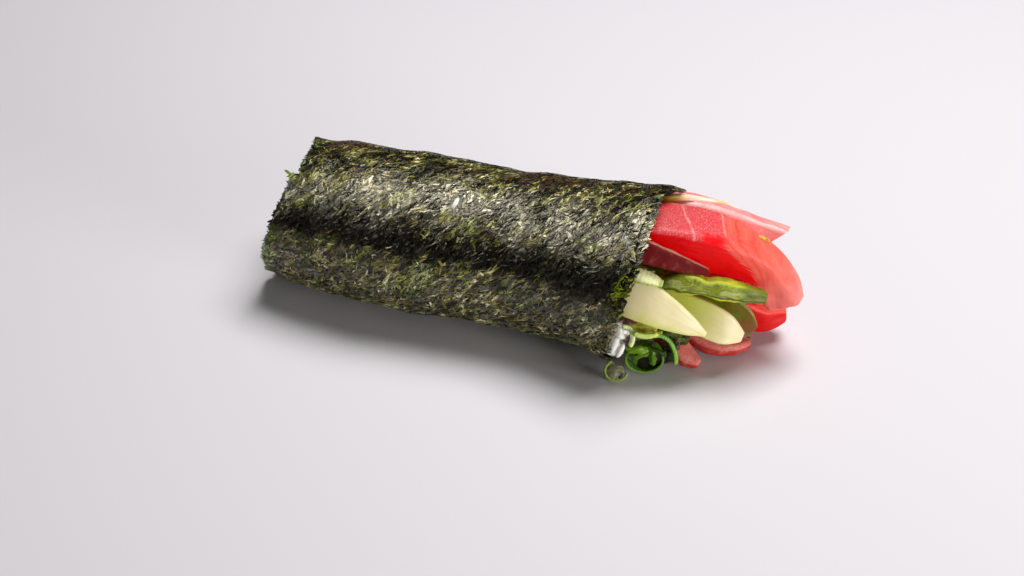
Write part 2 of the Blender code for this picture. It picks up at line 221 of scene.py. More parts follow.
class NodeKit:
    """Builds one material's nodes."""

    def __init__(self, name: str) -> None:
        """Starts an empty material."""
        self.material = bpy.data.materials.new(name)
        self.material.use_nodes = True
        self.tree = self.material.node_tree
        self.tree.nodes.clear()

    def add(
        self,
        kind: str,
        settings: Optional[dict] = None,
        inputs: Optional[dict] = None,
        output: Union[int, str] = 0,
    ) -> Signal:
        """Adds any node.

        Args:
            kind: The node's type.
            settings: Its properties, set first.
            inputs: Values or signals by socket name or number.
            output: The socket that is returned.

        Returns:
            The chosen output.
        """
        node = self.tree.nodes.new(kind)
        for key, value in (settings or {}).items():
            setattr(node, key, value)
        for key, value in (inputs or {}).items():
            if isinstance(value, Signal):
                self.tree.links.new(value.socket, node.inputs[key])
            elif isinstance(value, tuple) and len(value) == 3 and node.inputs[key].type == "RGBA":
                node.inputs[key].default_value = (*value, 1.0)
            else:
                node.inputs[key].default_value = value
        return Signal(self, node.outputs[output])

    def math(self, operation: str, *values: Number) -> Signal:
        """One Math node."""
        return self.add("ShaderNodeMath", {"operation": operation}, dict(enumerate(values)))

    def mix(self, share: Number, one: Paint, two: Paint, blend: str = "MIX") -> Signal:
        """One colour at share 0, the other at 1, or their product for the blend MULTIPLY."""
        settings = {"data_type": "RGBA", "clamp_factor": True, "blend_type": blend}
        return self.add("ShaderNodeMix", settings, {0: share, 6: one, 7: two}, 2)

    def place(self) -> Signal:
        """The object's own coordinates, in metres."""
        return self.add("ShaderNodeTexCoord", output="Object")

    def lay(self) -> Signal:
        """The place on the piece's own surface, from its lay attribute."""
        return self.add("ShaderNodeAttribute", {"attribute_name": "lay"}, output="Vector")

    def split(self, vector: Signal) -> tuple[Signal, Signal, Signal]:
        """The three numbers of a vector."""
        first = self.add("ShaderNodeSeparateXYZ", inputs={0: vector})
        node = first.socket.node
        return first, Signal(self, node.outputs[1]), Signal(self, node.outputs[2])

    def mapped(self, vector: Signal, scale: Colour, turn: float = 0.0) -> Signal:
        """The vector turned about Z, in degrees, and scaled."""
        values = {"Vector": vector, "Rotation": (0.0, 0.0, math.radians(turn)), "Scale": scale}
        return self.add("ShaderNodeMapping", {"vector_type": "TEXTURE"}, values)

    def noise(self, vector: Signal, scale: float, detail: float = 2.0, twist: float = 0.0) -> Signal:
        """Cloudy noise from 0 to 1."""
        values = {"Vector": vector, "Scale": scale, "Detail": detail, "Distortion": twist}
        return self.add("ShaderNodeTexNoise", inputs=values)

    def bump(self, height: Signal, depth_mm: float) -> Signal:
        """A normal from a height of 0 to 1 over this depth."""
        values = {"Strength": 1.0, "Distance": depth_mm * MM, "Height": height}
        return self.add("ShaderNodeBump", inputs=values)

    def finished(self, **sockets: object) -> bpy.types.Material:
        """Ends the material in a Principled shader.

        Args:
            sockets: Values or signals, with underscores for the spaces in a socket's name.

        Returns:
            The material.
        """
        named = {key.replace("_", " "): value for key, value in sockets.items()}
        shader = self.add("ShaderNodeBsdfPrincipled", inputs=named)
        output = self.tree.nodes.new("ShaderNodeOutputMaterial")
        self.tree.links.new(shader.socket, output.inputs["Surface"])
        return self.material


# ------------ finishes


FILM_TINT = (1.0, 0.92, 0.68, 1.0)


@dataclass(frozen=True)
class NoriSheetFinish:
    """Roasted seaweed: near-black glossy film with green and olive strands pressed into it."""

    black: Colour = tone(5, 5, 3)
    olive: Colour = tone(40, 37, 20)
    green: Colour = tone(62, 66, 24)
    film: Colour = tone(52, 48, 44)

    def material(self) -> bpy.types.Material:
        """Makes the material. It reads the flat sheet's millimetres from the lay attribute."""
        kit = NodeKit("nori_sheet")
        flat = kit.lay()
        strands = kit.noise(kit.mapped(flat, (1.5, 0.42, 1.0), -48.0), 1.0, 3.0, 1.2)
        crossing = kit.noise(kit.mapped(flat, (1.3, 0.4, 1.0), 30.0), 1.0, 3.0, 1.5)
        patches = kit.noise(flat, 0.16, 3.0, 0.6)
        colour = kit.mix(strands.rise(0.48, 0.62), self.black, self.olive)
        colour = kit.mix(crossing.rise(0.60, 0.68) * patches.rise(0.42, 0.62), colour, self.green)
        colour = kit.mix(patches.rise(0.56, 0.42) * strands.rise(0.5, 0.58) * 0.6, colour, self.film)
        fine = kit.noise(flat, 2.6, 2.0, 0.8)
        height = strands * 0.6 + crossing * 0.4 + fine * 0.35
        return kit.finished(
            Base_Color=colour,
            Roughness=0.14 + fine * 0.2,
            Normal=kit.bump(height, 0.3),
            IOR=1.55,
            Specular_Tint=FILM_TINT,
        )


@dataclass(frozen=True)
class StrandFinish:
    """Loose strands and flakes, each with its own colour and gloss."""

    name: str
    ior: float

    def material(self) -> bpy.types.Material:
        """Makes the material. The tint attribute holds each strand's colour, and its gloss."""
        kit = NodeKit(self.name)
        tint = kit.add("ShaderNodeAttribute", {"attribute_name": "tint"}, output="Color")
        gloss = Signal(kit, tint.socket.node.outputs["Alpha"])
        grain = kit.noise(kit.place(), 900.0, 2.0)
        shade = kit.mix(grain.rise(0.3, 0.7), (0.62, 0.62, 0.62), (1.15, 1.15, 1.15))
        return kit.finished(
            Base_Color=kit.mix(1.0, tint, shade, "MULTIPLY"),
            Roughness=gloss,
            Normal=kit.bump(grain, 0.06),
            IOR=self.ior,
            Specular_Tint=FILM_TINT,
        )


@dataclass(frozen=True)
class RiceFinish:
    """Moist cooked rice, translucent at its tips."""

    pale: Colour = tone(250, 247, 240)
    clear: Colour = tone(232, 229, 218)

    def material(self) -> bpy.types.Material:
        """Makes the material."""
        kit = NodeKit("cooked_rice")
        cloud = kit.noise(kit.place(), 520.0, 2.0)
        film = kit.noise(kit.place(), 1500.0, 2.0)
        return kit.finished(
            Base_Color=kit.mix(cloud.rise(0.35, 0.65), self.clear, self.pale),
            Roughness=0.22 + film * 0.24,
            Normal=kit.bump(film, 0.05),
            Subsurface_Weight=0.45,
            Subsurface_Radius=(1.0, 0.9, 0.75),
            Subsurface_Scale=0.0012,
            IOR=1.4,
        )


@dataclass(frozen=True)
class TunaFinish:
    """Raw tuna: wet, translucent, with muscle lines along the slice and a few pale sinews.

    The lay attribute gives the place in the section, -1 to 1 across and up, and the distance
    along the slice in millimetres. From coral_from on, a paler cut face spreads down from the
    top edge by coral_slope per millimetre. The lighter top face, the pale dots on it, the pale
    line along one top edge and the pale wet patches are painted sheen and highlights.
    """

    name: str
    deep: Colour
    top: Colour
    coral: Colour
    pale: Colour
    top_from: float = 0.72
    coral_from: float = 1000.0
    coral_slope: float = 0.09
    sinews: tuple[tuple[float, float], ...] = ()
    rim: float = 0.5
    notch_from: float = 1000.0
    rim_side: float = 1.0
    sheen: float = 0.0
    gloss: float = 0.30
    shine: float = 0.35

    def material(self) -> bpy.types.Material:
        """Makes the material."""
        kit = NodeKit(self.name)
        lay = kit.lay()
        across, up, along = kit.split(lay)
        place = kit.place()
        cloud = kit.noise(place, 140.0, 3.0, 0.4)
        ragged = kit.noise(place, 700.0, 2.0)
        fibres = kit.noise(kit.mapped(lay, (0.09, 0.09, 9.0)), 1.0, 3.0, 0.6)
        dots = kit.noise(place, 2600.0, 1.0, 0.6)
        speckle = kit.noise(place, 2300.0, 2.0)
        # Painted sheen: the top face is coloured lighter pink, as if it mirrored the light above.
        on_top = (up + ragged * 0.16 - 0.08).rise(self.top_from, self.top_from + 0.12)
        notch = along.rise(self.notch_from, self.notch_from + 1.6)
        on_top = on_top * (1.0 - notch * (across + ragged * 0.3).rise(-0.35, -0.6))
        colour = kit.mix(on_top, self.deep, self.top)
        # Painted highlight: pale wet glints dotted over the top face.
        lit = (speckle.rise(0.5, 0.75) * 0.35 + dots.rise(0.5, 0.75) * 0.5) * on_top
        colour = kit.mix(lit, colour, self.pale)
        spread = up + (along - self.coral_from) * self.coral_slope + ragged * 0.12
        streaks = spread + (fibres - 0.5) * 0.9 - 0.9
        on_cut = streaks.rise(0.0, 0.24) * along.rise(self.coral_from, self.coral_from + 3.0)
        colour = kit.mix(on_cut, colour, self.coral)
        bands = kit.noise(kit.mapped(lay, (0.5, 0.5, 7.0)), 1.0, 1.0) * 0.25
        waves = kit.math("SINE", (spread + bands) * 21.0)
        line = waves.rise(0.72, 1.0) * on_cut * spread.rise(2.3, 1.2)
        colour = kit.mix(line * 0.5, colour, self.deep)
        colour = kit.mix(waves.rise(-0.8, -1.0) * on_cut * 0.08, colour, self.pale)
        far = along.rise(self.coral_from + 14.0, self.coral_from + 32.0)
        colour = kit.mix(far * 0.4, colour, self.pale)
        colour = kit.mix(fibres.rise(0.56, 0.76) * 0.25, colour, self.coral)
        colour = kit.mix(cloud.rise(0.55, 0.35) * 0.25, colour, self.deep)
        # Painted highlight: a pale line along the top of one side edge.
        edge = up.rise(0.5, 0.95) * (across * self.rim_side + ragged * 0.3).rise(0.85, 1.15)
        colour = kit.mix(edge * self.rim, colour, self.pale)
        for start, lean in self.sinews:
            wander = kit.noise(lay, 0.35, 2.0) * 1.6
            line = abs(along - across * lean + wander - start - 0.8).rise(0.6, 0.0)
            line = line * ragged.rise(0.25, 0.65) + line * dots * 0.5
            colour = kit.mix(line * on_top * 0.5, colour, self.pale)
        wet = kit.noise(place, 420.0, 3.0)
        # Painted sheen: pale patches where the flesh is wet, by as much as sheen.
        colour = kit.mix(wet.rise(0.5, 0.75) * self.sheen, colour, self.pale)
        return kit.finished(
            Base_Color=colour,
            Roughness=self.gloss + wet * 0.22,
            Normal=kit.bump(fibres * 0.5 + speckle * 0.25 + wet * 0.5, 0.2),
            Subsurface_Weight=0.18,
            Subsurface_Radius=(1.0, 0.2, 0.14),
            Subsurface_Scale=0.0018,
            Specular_IOR_Level=self.shine,
            IOR=1.42,
        )


@dataclass(frozen=True)
class CucumberFinish:
    """Cucumber flesh: pale and watery, greener towards one edge, with a thin green rim."""

    name: str
    cream: Colour
    green: Colour
    skin: Colour
    green_from: float
    green_to: float
    tip_from: float

    def material(self) -> bpy.types.Material:
        """Makes the material."""
        kit = NodeKit(self.name)
        lay = kit.lay()
        _, up, along = kit.split(lay)
        place = kit.place()
        cloud = kit.noise(place, 190.0, 3.0, 0.5)
        lines = kit.noise(kit.mapped(lay, (0.25, 0.25, 12.0)), 1.0, 2.0)
        lower = (up * 6.0 + cloud * 6.0).rise(self.green_from, self.green_to)
        root = along.rise(self.tip_from, self.tip_from - 16.0)
        share = kit.math("MAXIMUM", lower * 0.8, root)
        colour = kit.mix(share, self.cream, self.green)
        colour = kit.mix(lines.rise(0.5, 0.8) * 0.25, colour, self.green)
        broad = kit.noise(kit.mapped(lay, (0.9, 0.9, 9.0)), 1.0, 2.0)
        colour = kit.mix(broad.rise(0.5, 0.72) * 0.2, colour, self.green)
        rim = kit.math("MAXIMUM", up.rise(-0.955, -0.995), up.rise(0.97, 0.998) * 0.6)
        colour = kit.mix(rim * 0.9, colour, self.skin)
        wet = kit.noise(place, 500.0, 2.0)
        return kit.finished(
            Base_Color=colour,
            Roughness=0.24 + wet * 0.2,
            Normal=kit.bump(lines * 0.4 + wet * 0.4, 0.1),
            Subsurface_Weight=0.35,
            Subsurface_Radius=(1.0, 1.0, 0.5),
            Subsurface_Scale=0.002,
            IOR=1.38,
        )


@dataclass(frozen=True)
class PeelFinish:
    """Cucumber skin side: olive and brown-green, brighter along its rims."""

    body: Colour = tone(92, 114, 10)
    brown: Colour = tone(116, 74, 20)
    rim: Colour = tone(140, 152, 40)

    def material(self) -> bpy.types.Material:
        """Makes the material."""
        kit = NodeKit("cucumber_skin")
        lay = kit.lay()
        _, up, along = kit.split(lay)
        cloud = kit.noise(kit.place(), 260.0, 3.0, 0.6)
        share = cloud.rise(0.42, 0.66) * 0.6 + along.rise(132.0, 138.0) * 0.8
        colour = kit.mix(share, self.body, self.brown)
        colour = kit.mix(abs(up).rise(0.82, 1.0), colour, self.rim)
        wet = kit.noise(kit.place(), 600.0, 2.0)
        return kit.finished(
            Base_Color=colour,
            Roughness=0.22 + wet * 0.2,
            Normal=kit.bump(cloud + wet * 0.5, 0.12),
            Subsurface_Weight=0.25,
            Subsurface_Radius=(0.8, 1.0, 0.2),
            Subsurface_Scale=0.0015,
            Specular_IOR_Level=0.25,
        )


@dataclass(frozen=True)
class AvocadoFinish:
    """Avocado: grey-green patches outlined in dark green, a painted lime highlight along the upper
    edge, and a yellow lower edge.
    """

    pale: Colour = tone(168, 176, 96)
    middle: Colour = tone(134, 144, 32)
    dark: Colour = tone(78, 86, 8)
    bright: Colour = tone(172, 184, 40)
    yellow: Colour = tone(186, 188, 52)
    warm: Colour = tone(204, 142, 74)

    def material(self) -> bpy.types.Material:
        """Makes the material."""
        kit = NodeKit("avocado_flesh")
        lay = kit.lay()
        _, up, along = kit.split(lay)
        bend = kit.noise(lay, 0.5, 2.0)
        patches = kit.noise(kit.mapped(lay, (0.75, 0.75, 4.0)), 1.0, 2.0, 0.8)
        mottle = kit.noise(kit.place(), 640.0, 3.0, 1.0)
        field = patches + mottle * 0.14 - 0.07
        colour = kit.mix(field.rise(0.46, 0.64), self.middle, self.pale)
        outline = abs(field - 0.49).rise(0.07, 0.0)
        colour = kit.mix(outline * 0.5, colour, self.dark)
        colour = kit.mix(mottle.rise(0.56, 0.7) * 0.5, colour, self.bright)
        # Painted highlight: the upper edge is coloured bright lime.
        colour = kit.mix((up + bend * 0.3).rise(0.9, 1.05), colour, self.bright)
        colour = kit.mix(abs(up + bend * 0.4 + 0.42).rise(0.16, 0.04), colour, self.dark)
        colour = kit.mix((up + bend * 0.4).rise(-0.46, -0.6), colour, self.yellow)
        colour = kit.mix(up.rise(-0.9, -1.0) * 0.7, colour, self.warm)
        tip = along.rise(136.0, 139.5)
        colour = kit.mix(tip * 0.7, colour, self.dark)
        return kit.finished(
            Base_Color=colour,
            Roughness=0.34 + mottle * 0.2,
            Normal=kit.bump(mottle * 0.6 + patches, 0.35),
            Subsurface_Weight=0.1,
            Subsurface_Radius=(0.9, 1.0, 0.3),
            Subsurface_Scale=0.001,
            Specular_IOR_Level=0.3,
        )


@dataclass(frozen=True)
class ScallionFinish:
    """A slice of scallion: ribbed wall, lighter at its cut rims.

    The lay attribute gives wall and length from -1 to 1, and the distance round the slice.
    """

    name: str
    wall: Colour
    rim: Colour
    rib_mm: float = 0.7
    clear: float = 0.0

    def material(self) -> bpy.types.Material:
        """Makes the material."""
        kit = NodeKit(self.name)
        lay = kit.lay()
        _, length, around = kit.split(lay)
        waver = kit.noise(lay, 0.8, 2.0)
        ribs = kit.math("SINE", (around + waver * 0.5) * (2.0 * math.pi / self.rib_mm))
        ribs = ribs * 0.5 + 0.5
        cloud = kit.noise(kit.place(), 420.0, 3.0, 0.5)
        colour = kit.mix(cloud.rise(0.3, 0.7) * 0.5, self.wall, self.rim)
        colour = kit.mix(ribs * 0.35, colour, self.rim)
        colour = kit.mix(abs(length).rise(0.75, 1.0) * 0.85, colour, self.rim)
        return kit.finished(
            Base_Color=colour,
            Roughness=0.2 + cloud * 0.18,
            Normal=kit.bump(ribs * 0.5 + cloud * 0.4, 0.12),
            Subsurface_Weight=0.3,
            Subsurface_Radius=(0.6, 1.0, 0.2),
            Subsurface_Scale=0.0012,
            Transmission_Weight=self.clear,
            IOR=1.36,
        )


@dataclass(frozen=True)
class RadishFinish:
    """Pickled radish: yellow, with painted shade turning it orange at its root under the sheet and
    painted light turning it pale and clear towards its tip.
    """

    orange: Colour = tone(236, 150, 24)
    yellow: Colour = tone(246, 198, 70)
    cream: Colour = tone(244, 214, 190)

    def material(self) -> bpy.types.Material:
        """Makes the material."""
        kit = NodeKit("pickled_radish")
        lay = kit.lay()
        _, _, along = kit.split(lay)
        cloud = kit.noise(kit.place(), 230.0, 2.0)
        reach = along + cloud * 4.0
        # Painted shade at the root, painted light towards the tip.
        colour = kit.mix(reach.rise(109.0, 113.5), self.orange, self.yellow)
        colour = kit.mix(reach.rise(114.0, 119.0), colour, self.cream)
        spot = abs(along - 125.5).rise(3.0, 1.0)
        colour = kit.mix(spot * 0.7, colour, self.yellow)
        return kit.finished(
            Base_Color=colour,
            Roughness=0.26 + cloud * 0.14,
            Normal=kit.bump(cloud, 0.12),
            Subsurface_Weight=0.4,
            Subsurface_Radius=(1.0, 0.7, 0.25),
            Subsurface_Scale=0.0016,
        )


@dataclass(frozen=True)
class FloorFinish:
    """The plain pale floor."""

    pale: Colour = tone(233, 229, 233)

    def material(self) -> bpy.types.Material:
        """Makes the material."""
        kit = NodeKit("pale_floor")
        cloud = kit.noise(kit.place(), 3.0, 2.0)
        darker = tuple(value * 0.985 for value in self.pale)
        return kit.finished(
            Base_Color=kit.mix(cloud, darker, self.pale),
            Roughness=0.6,
            Specular_IOR_Level=0.0,
        )


# ------------ the roll's form


@dataclass(frozen=True)
class RollForm:
    """The roll as a bent, slightly conical tube: x, sideways offset and radius."""

    stations: tuple[tuple[float, float, float], ...] = (
        (0.0, -1.7, 19.2),
        (18.0, -3.4, 21.5),
        (40.0, -3.1, 22.4),
        (62.0, -0.4, 22.1),
        (75.0, 1.1, 22.1),
        (90.0, 1.2, 23.2),
        (108.0, -0.7, 25.0),
    )
    spread: float = 1.03
    squash: float = 0.97
    floor_sink: float = 0.6
    mouth: float = 108.0

    def at(self, x: Array) -> tuple[Array, Array, Array]:
        """Sideways offset, centre height and radius at x."""
        y, radius = interpolated(self.stations, np.asarray(x, float))
        return y, radius * self.squash - self.floor_sink, radius

    def radius(self, x: Array) -> Array:
        """Radius at x, which may have any shape."""
        return self.at(np.ravel(x))[2].reshape(np.shape(x))

    def points(self, x: Array, angle: Array, radius: Array, floor: float = 0.0) -> Array:
        """Points at this angle and radius about the axis, no lower than the floor."""
        x, angle, radius = np.broadcast_arrays(*(np.asarray(v, float) for v in (x, angle, radius)))
        y, z, _ = self.at(x.ravel())
        turn = np.radians(angle.ravel())
        across = y - radius.ravel() * self.spread * np.cos(turn)
        up = np.maximum(z + radius.ravel() * self.squash * np.sin(turn), floor)
        return np.stack([x.ravel(), across, up], axis=1)

    def wave(self, x: Array, angle: Array) -> Array:
        """The shallow dents and swells of a sheet pressed onto rice."""
        turn = np.radians(angle)
        return (
            0.22 * np.sin(0.21 * x + 2.0 * turn)
            + 0.18 * np.sin(0.34 * x - 3.0 * turn + 1.3)
            + 0.10 * np.sin(0.55 * x + 5.0 * turn + 0.4)
        )


@dataclass(frozen=True)
class SheetForm:
    """The seaweed sheet, from its flat measures to its rolled place.

    Attributes:
        sink_start: The turn from which it dips under itself.
        seam_left: Where its outer edge lies at the left end, in degrees, and seam_right at the mouth.
        seam_bend: How late that edge climbs between the two.
        edge_back: Where its left edge lies at the back, and edge_front at edge_angle.
        edge_sharpness: How narrow the notch in that edge is.
        edge_drift: How far the edge moves with each turn.
        tip_turns: Place of the torn tip at the mouth, with its tip_spread and tip_length.
        curl: How far the left corner at curl_angle lifts.
    """

    roll: RollForm = field(default_factory=RollForm)
    width: float = 102.5
    turns: float = 1.378
    arc: float = 140.0
    pitch: float = 0.8
    sink_start: float = 0.8
    seam_left: float = 64.0
    seam_right: float = 104.0
    seam_bend: float = 1.8
    edge_back: float = -1.5
    edge_front: float = 7.9
    edge_angle: float = 58.0
    edge_sharpness: float = 2.2
    edge_drift: float = 2.4
    tip_turns: float = 0.9
    tip_spread: float = 0.045
    tip_length: float = 5.0
    curl: float = 1.5
    curl_angle: float = 122.0
    curl_sharpness: float = 9.0
    curl_reach: float = 5.0
    settling: int = 3

    def seam_angle(self, x: Array) -> Array:
        """Where the sheet's outer edge lies round the roll."""
        share = np.clip(np.asarray(x, float) / self.roll.mouth, 0.0, 1.0)
        return self.seam_left + (self.seam_right - self.seam_left) * share**self.seam_bend

    def left(self, angle: Array, turns: Array) -> Array:
        """Where the sheet's left edge lies along the roll."""
        facing = (1.0 + np.cos(np.radians(angle - self.edge_angle))) / 2.0
        slant = self.edge_back + (self.edge_front - self.edge_back) * facing**self.edge_sharpness
        return slant + self.edge_drift * turns

    @staticmethod
    def ragged(turns: Array, phase: float) -> Array:
        """The torn edge's slow unevenness."""
        slow = 0.35 * np.sin(31.0 * turns + phase)
        return slow + 0.25 * np.sin(57.0 * turns + 2.1 * phase)

    def place(self, along: Array, turns: Array) -> tuple[Array, Array]:
        """x and angle of a place on the sheet, given as a share of its width and its turns."""
        x = along * self.roll.mouth
        for _ in range(self.settling):
            angle = self.seam_angle(x) - 360.0 * turns
            left = self.left(angle, turns)
            tip = self.tip_length * hump(turns, self.tip_turns, self.tip_spread)
            right = left + self.width + self.ragged(turns, 1.7) + tip
            left = left + self.ragged(turns, 0.0)
            x = left + (right - left) * along
        return x, angle

    def where(self, x: Array, angle: Array) -> tuple[Array, Array]:
        """Share of the width and turns of the outermost place at x and angle."""
        x, angle = np.asarray(x, float), np.asarray(angle, float)
        turns = (self.seam_angle(x) - angle) / 360.0
        turns = np.where(turns < -0.01, turns + 1.0, turns)
        return (x - self.left(angle, turns)) / self.width, turns

    def points(self, along: Array, turns: Array, lift: Array) -> Array:
        """Points of the sheet.

        Args:
            along: Share of the width, 0 at the left edge.
            turns: Turns from the outer edge inwards.
            lift: Height above the solid's outer surface.

        Returns:
            One point a row.
        """
        x, angle = self.place(along, turns)
        sink = self.pitch * smooth_step((turns - self.sink_start) / (1.0 - self.sink_start))
        radius = self.roll.radius(x) + self.roll.wave(x, angle)
        inward = np.maximum(x - self.left(angle, turns), 0.0)
        facing = np.cos(np.radians(angle - self.curl_angle)) - 1.0
        corner = np.exp(self.curl_sharpness * facing - inward / self.curl_reach)
        return self.roll.points(x, angle, radius - sink + lift + self.curl * corner)

    def relief(self, x: Array, arc: Array) -> Array:
        """Crinkles of the pressed sheet, from about -1 to 1, from its flat millimetres."""
        tilt = np.radians(50.0)
        one = x * np.cos(tilt) - arc * np.sin(tilt)
        two = x * np.sin(tilt) + arc * np.cos(tilt)
        folds = 1.0 - 2.0 * np.abs(value_noise(one / 3.4, two / 1.5, 3.0))
        return (
            0.35 * value_noise(x / 7.0, arc / 6.0, 1.0)
            + 0.40 * folds
            + 0.35 * value_noise(one / 1.9, two / 0.9, 5.0)
        )


# ------------ mesh tools


def placed(name: str, data: bpy.types.ID) -> bpy.types.Object:
    """A new object in the scene."""
    found = bpy.data.objects.new(name, data)
    bpy.context.scene.collection.objects.link(found)
    return found


@dataclass
class Workshop:
    """Turns meshes in the roll's own millimetres into pieces of the frame."""

    low: Vector
    high: Vector
    margin: float = 0.00002
    made: list = field(default_factory=list)

    def finish(
        self,
        name: str,
        mesh: bpy.types.Mesh,
        material: bpy.types.Material,
        slot: Slot,
        nodes: Iterable[str] = (),
        facets: bool = False,
    ) -> bpy.types.Object:
        """Makes the piece.

        Args:
            name: The piece's name.
            mesh: Its mesh, in millimetres.
            material: Its finish.
            slot: The record's slot that the finish stands for. Not used.
            nodes: The CAD nodes that it replaces.
            facets: Its faces stay flat.

        Returns:
            The object, riding on the body.
        """
        count = len(mesh.vertices)
        points = np.empty(count * 3)
        mesh.vertices.foreach_get("co", points)
        points = (points.reshape(-1, 3) - np.array(FOOTPRINT_MIDDLE)) * MM
        points = np.clip(points, np.array(self.low) + self.margin, np.array(self.high) - self.margin)
        mesh.vertices.foreach_set("co", points.ravel())
        mesh.update()
        if facets:
            mesh.shade_flat()
        else:
            mesh.shade_smooth()
        mesh.name = name
        mesh.materials.append(material)
        piece = placed(name, mesh)
        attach(piece, BODY)
        if nodes:
            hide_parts(*nodes)
        self.made.append(name)
        LOG.info("%s: %d vertices, %d faces", name, count, len(mesh.polygons))
        return piece


def to_mesh(shape: bmesh.types.BMesh, name: str) -> bpy.types.Mesh:
    """Frees the bmesh and gives its mesh, with the normals outwards."""
    bmesh.ops.recalc_face_normals(shape, faces=shape.faces[:])
    mesh = bpy.data.meshes.new(name)
    shape.to_mesh(mesh)
    shape.free()
    return mesh


@dataclass(frozen=True)
class Outline:
    """A rounded rectangle as rows: for each point its corner, as two signs, and its direction."""

    arc_steps: int = 4
    side_steps: int = 8

    def rows(self) -> Array:
        """Sign across, sign up and turn in radians, once round, the first repeated at the end."""
        corners = ((1, -1), (1, 1), (-1, 1), (-1, -1))
        found = []
        for number, (across, up) in enumerate(corners):
            start = 90.0 * number - 90.0
            for step in range(self.arc_steps + 1):
                found.append((across, up, math.radians(start + 90.0 * step / self.arc_steps)))
            next_across, next_up = corners[(number + 1) % 4]
            along, above, turn = next_across - across, next_up - up, math.radians(start + 90.0)
            for step in range(1, self.side_steps):
                share = step / self.side_steps
                found.append((across + along * share, up + above * share, turn))
        found.append((corners[0][0], corners[0][1], math.radians(270.0)))
        return np.array(found)


@dataclass(frozen=True)
class SweepForm:
    """How a swept body is finished.

    Attributes:
        rounding: Share of the smaller side that rounds the corners.
        end_round: Radius that rounds the two ends.
        slant: How far the last end leans, per millimetre across and up.
        slant_reach: Length over which that lean grows.
        wobble: Depth of the unevenness.
        wobble_mm: Its length.
        seed: What makes it differ from its neighbours.
    """

    rounding: float = 0.2
    end_round: float = 0.8
    slant: tuple[float, float] = (0.0, 0.0)
    slant_reach: float = 12.0
    wobble: float = 0.12
    wobble_mm: float = 3.0
    seed: float = 1.0


@dataclass
class Sweep:
    """A body swept along a path, with a rounded rectangle as its section.

    Attributes:
        path: The section's centre at each step.
        across: The direction of the section's width.
        upward: The direction of its height.
        size: Width and height at each step.
        travel: Distance along the path.
        form: How its corners, ends and sides are finished.
        closed: The path ends where it starts.
        outline: The section's points.
    """

    path: Array
    across: Array
    upward: Array
    size: Array
    travel: Array
    form: SweepForm
    closed: bool = False
    outline: Outline = field(default_factory=Outline)

    def _inset(self) -> Array:
        """How far the section draws in near the ends."""
        if self.closed:
            return np.zeros(len(self.path))
        near = np.minimum(self.travel - self.travel[0], self.travel[-1] - self.travel)
        radius = self.form.end_round
        depth = np.clip(radius - near, 0.0, radius)
        return radius - np.sqrt(np.maximum(radius**2 - depth**2, 0.0))

    def shape(self) -> bmesh.types.BMesh:
        """The swept body, closed, with its lay attribute."""
        form = self.form
        rows = self.outline.rows()
        steps, sides = len(self.path) - 1, len(rows) - 1
        bm = bmesh.new()
        lay = bm.verts.layers.float_vector.new("lay")
        bmesh.ops.create_grid(bm, x_segments=steps, y_segments=sides, size=0.5)
        flat = np.array([vert.co[:] for vert in bm.verts])
        i = np.rint((flat[:, 0] + 0.5) * steps).astype(int)
        j = np.rint((flat[:, 1] + 0.5) * sides).astype(int)
        thinnest = 0.02
        half = np.maximum(self.size / 2.0 - self._inset()[:, None], thinnest)
        radius = 2.0 * form.rounding * half.min(axis=1)
        sign_a, sign_b, turn = rows[j, 0], rows[j, 1], rows[j, 2]
        a = sign_a * (half[i, 0] - radius[i]) + radius[i] * np.cos(turn)
        b = sign_b * (half[i, 1] - radius[i]) + radius[i] * np.sin(turn)
        round_mm = (np.arctan2(b / half[i, 1], a / half[i, 0]) / math.pi) * 2.0
        around = np.where(sign_a > 0, round_mm, 2.0 - round_mm)
        rough = value_noise(self.travel[i] / form.wobble_mm, around * 3.0, form.seed)
        rough += 0.5 * value_noise(self.travel[i] / form.wobble_mm * 2.3, b / 1.7, form.seed + 9.0)
        ease = np.minimum(half[i].min(axis=1) / 1.5, 1.0)
        a = a + np.cos(turn) * rough * form.wobble * ease
        b = b + np.sin(turn) * rough * form.wobble * ease
        ahead = units(np.gradient(self.path, axis=0))
        reach = smooth_step((self.travel - self.travel[-1] + form.slant_reach) / form.slant_reach)
        lean = (form.slant[0] * a + form.slant[1] * b) * reach[i]
        spots = self.path[i] + self.across[i] * a[:, None] + self.upward[i] * b[:, None]
        spots = spots + ahead[i] * lean[:, None]
        lays = np.stack([a / half[i, 0], b / half[i, 1], self.travel[i]], axis=1)
        for vert, spot, values in zip(bm.verts, spots, lays):
            vert.co = spot
            vert[lay] = values
        bmesh.ops.remove_doubles(bm, verts=bm.verts[:], dist=0.0005)
        if not self.closed:
            edges = [edge for edge in bm.edges if edge.is_boundary]
            bmesh.ops.holes_fill(bm, edges=edges, sides=0)
        return bm


def as_arrays(bm: bmesh.types.BMesh) -> tuple[Array, Array]:
    """Frees the bmesh and gives its points and its triangles."""
    bmesh.ops.recalc_face_normals(bm, faces=bm.faces[:])
    bmesh.ops.triangulate(bm, faces=bm.faces[:])
    bm.verts.ensure_lookup_table()
    bm.verts.index_update()
    points = np.array([vert.co[:] for vert in bm.verts])
    faces = np.array([[vert.index for vert in face.verts] for face in bm.faces])
    bm.free()
    return points, faces


@dataclass(frozen=True)
class Ball:
    """A small closed form that is repeated: a ball along Z, from -1 to 1."""

    around: int
    steps: int

    def arrays(self) -> tuple[Array, Array]:
        """Its points, and its faces as triangles."""
        bm = bmesh.new()
        bmesh.ops.create_uvsphere(bm, u_segments=self.around, v_segments=self.steps, radius=1.0)
        return as_arrays(bm)


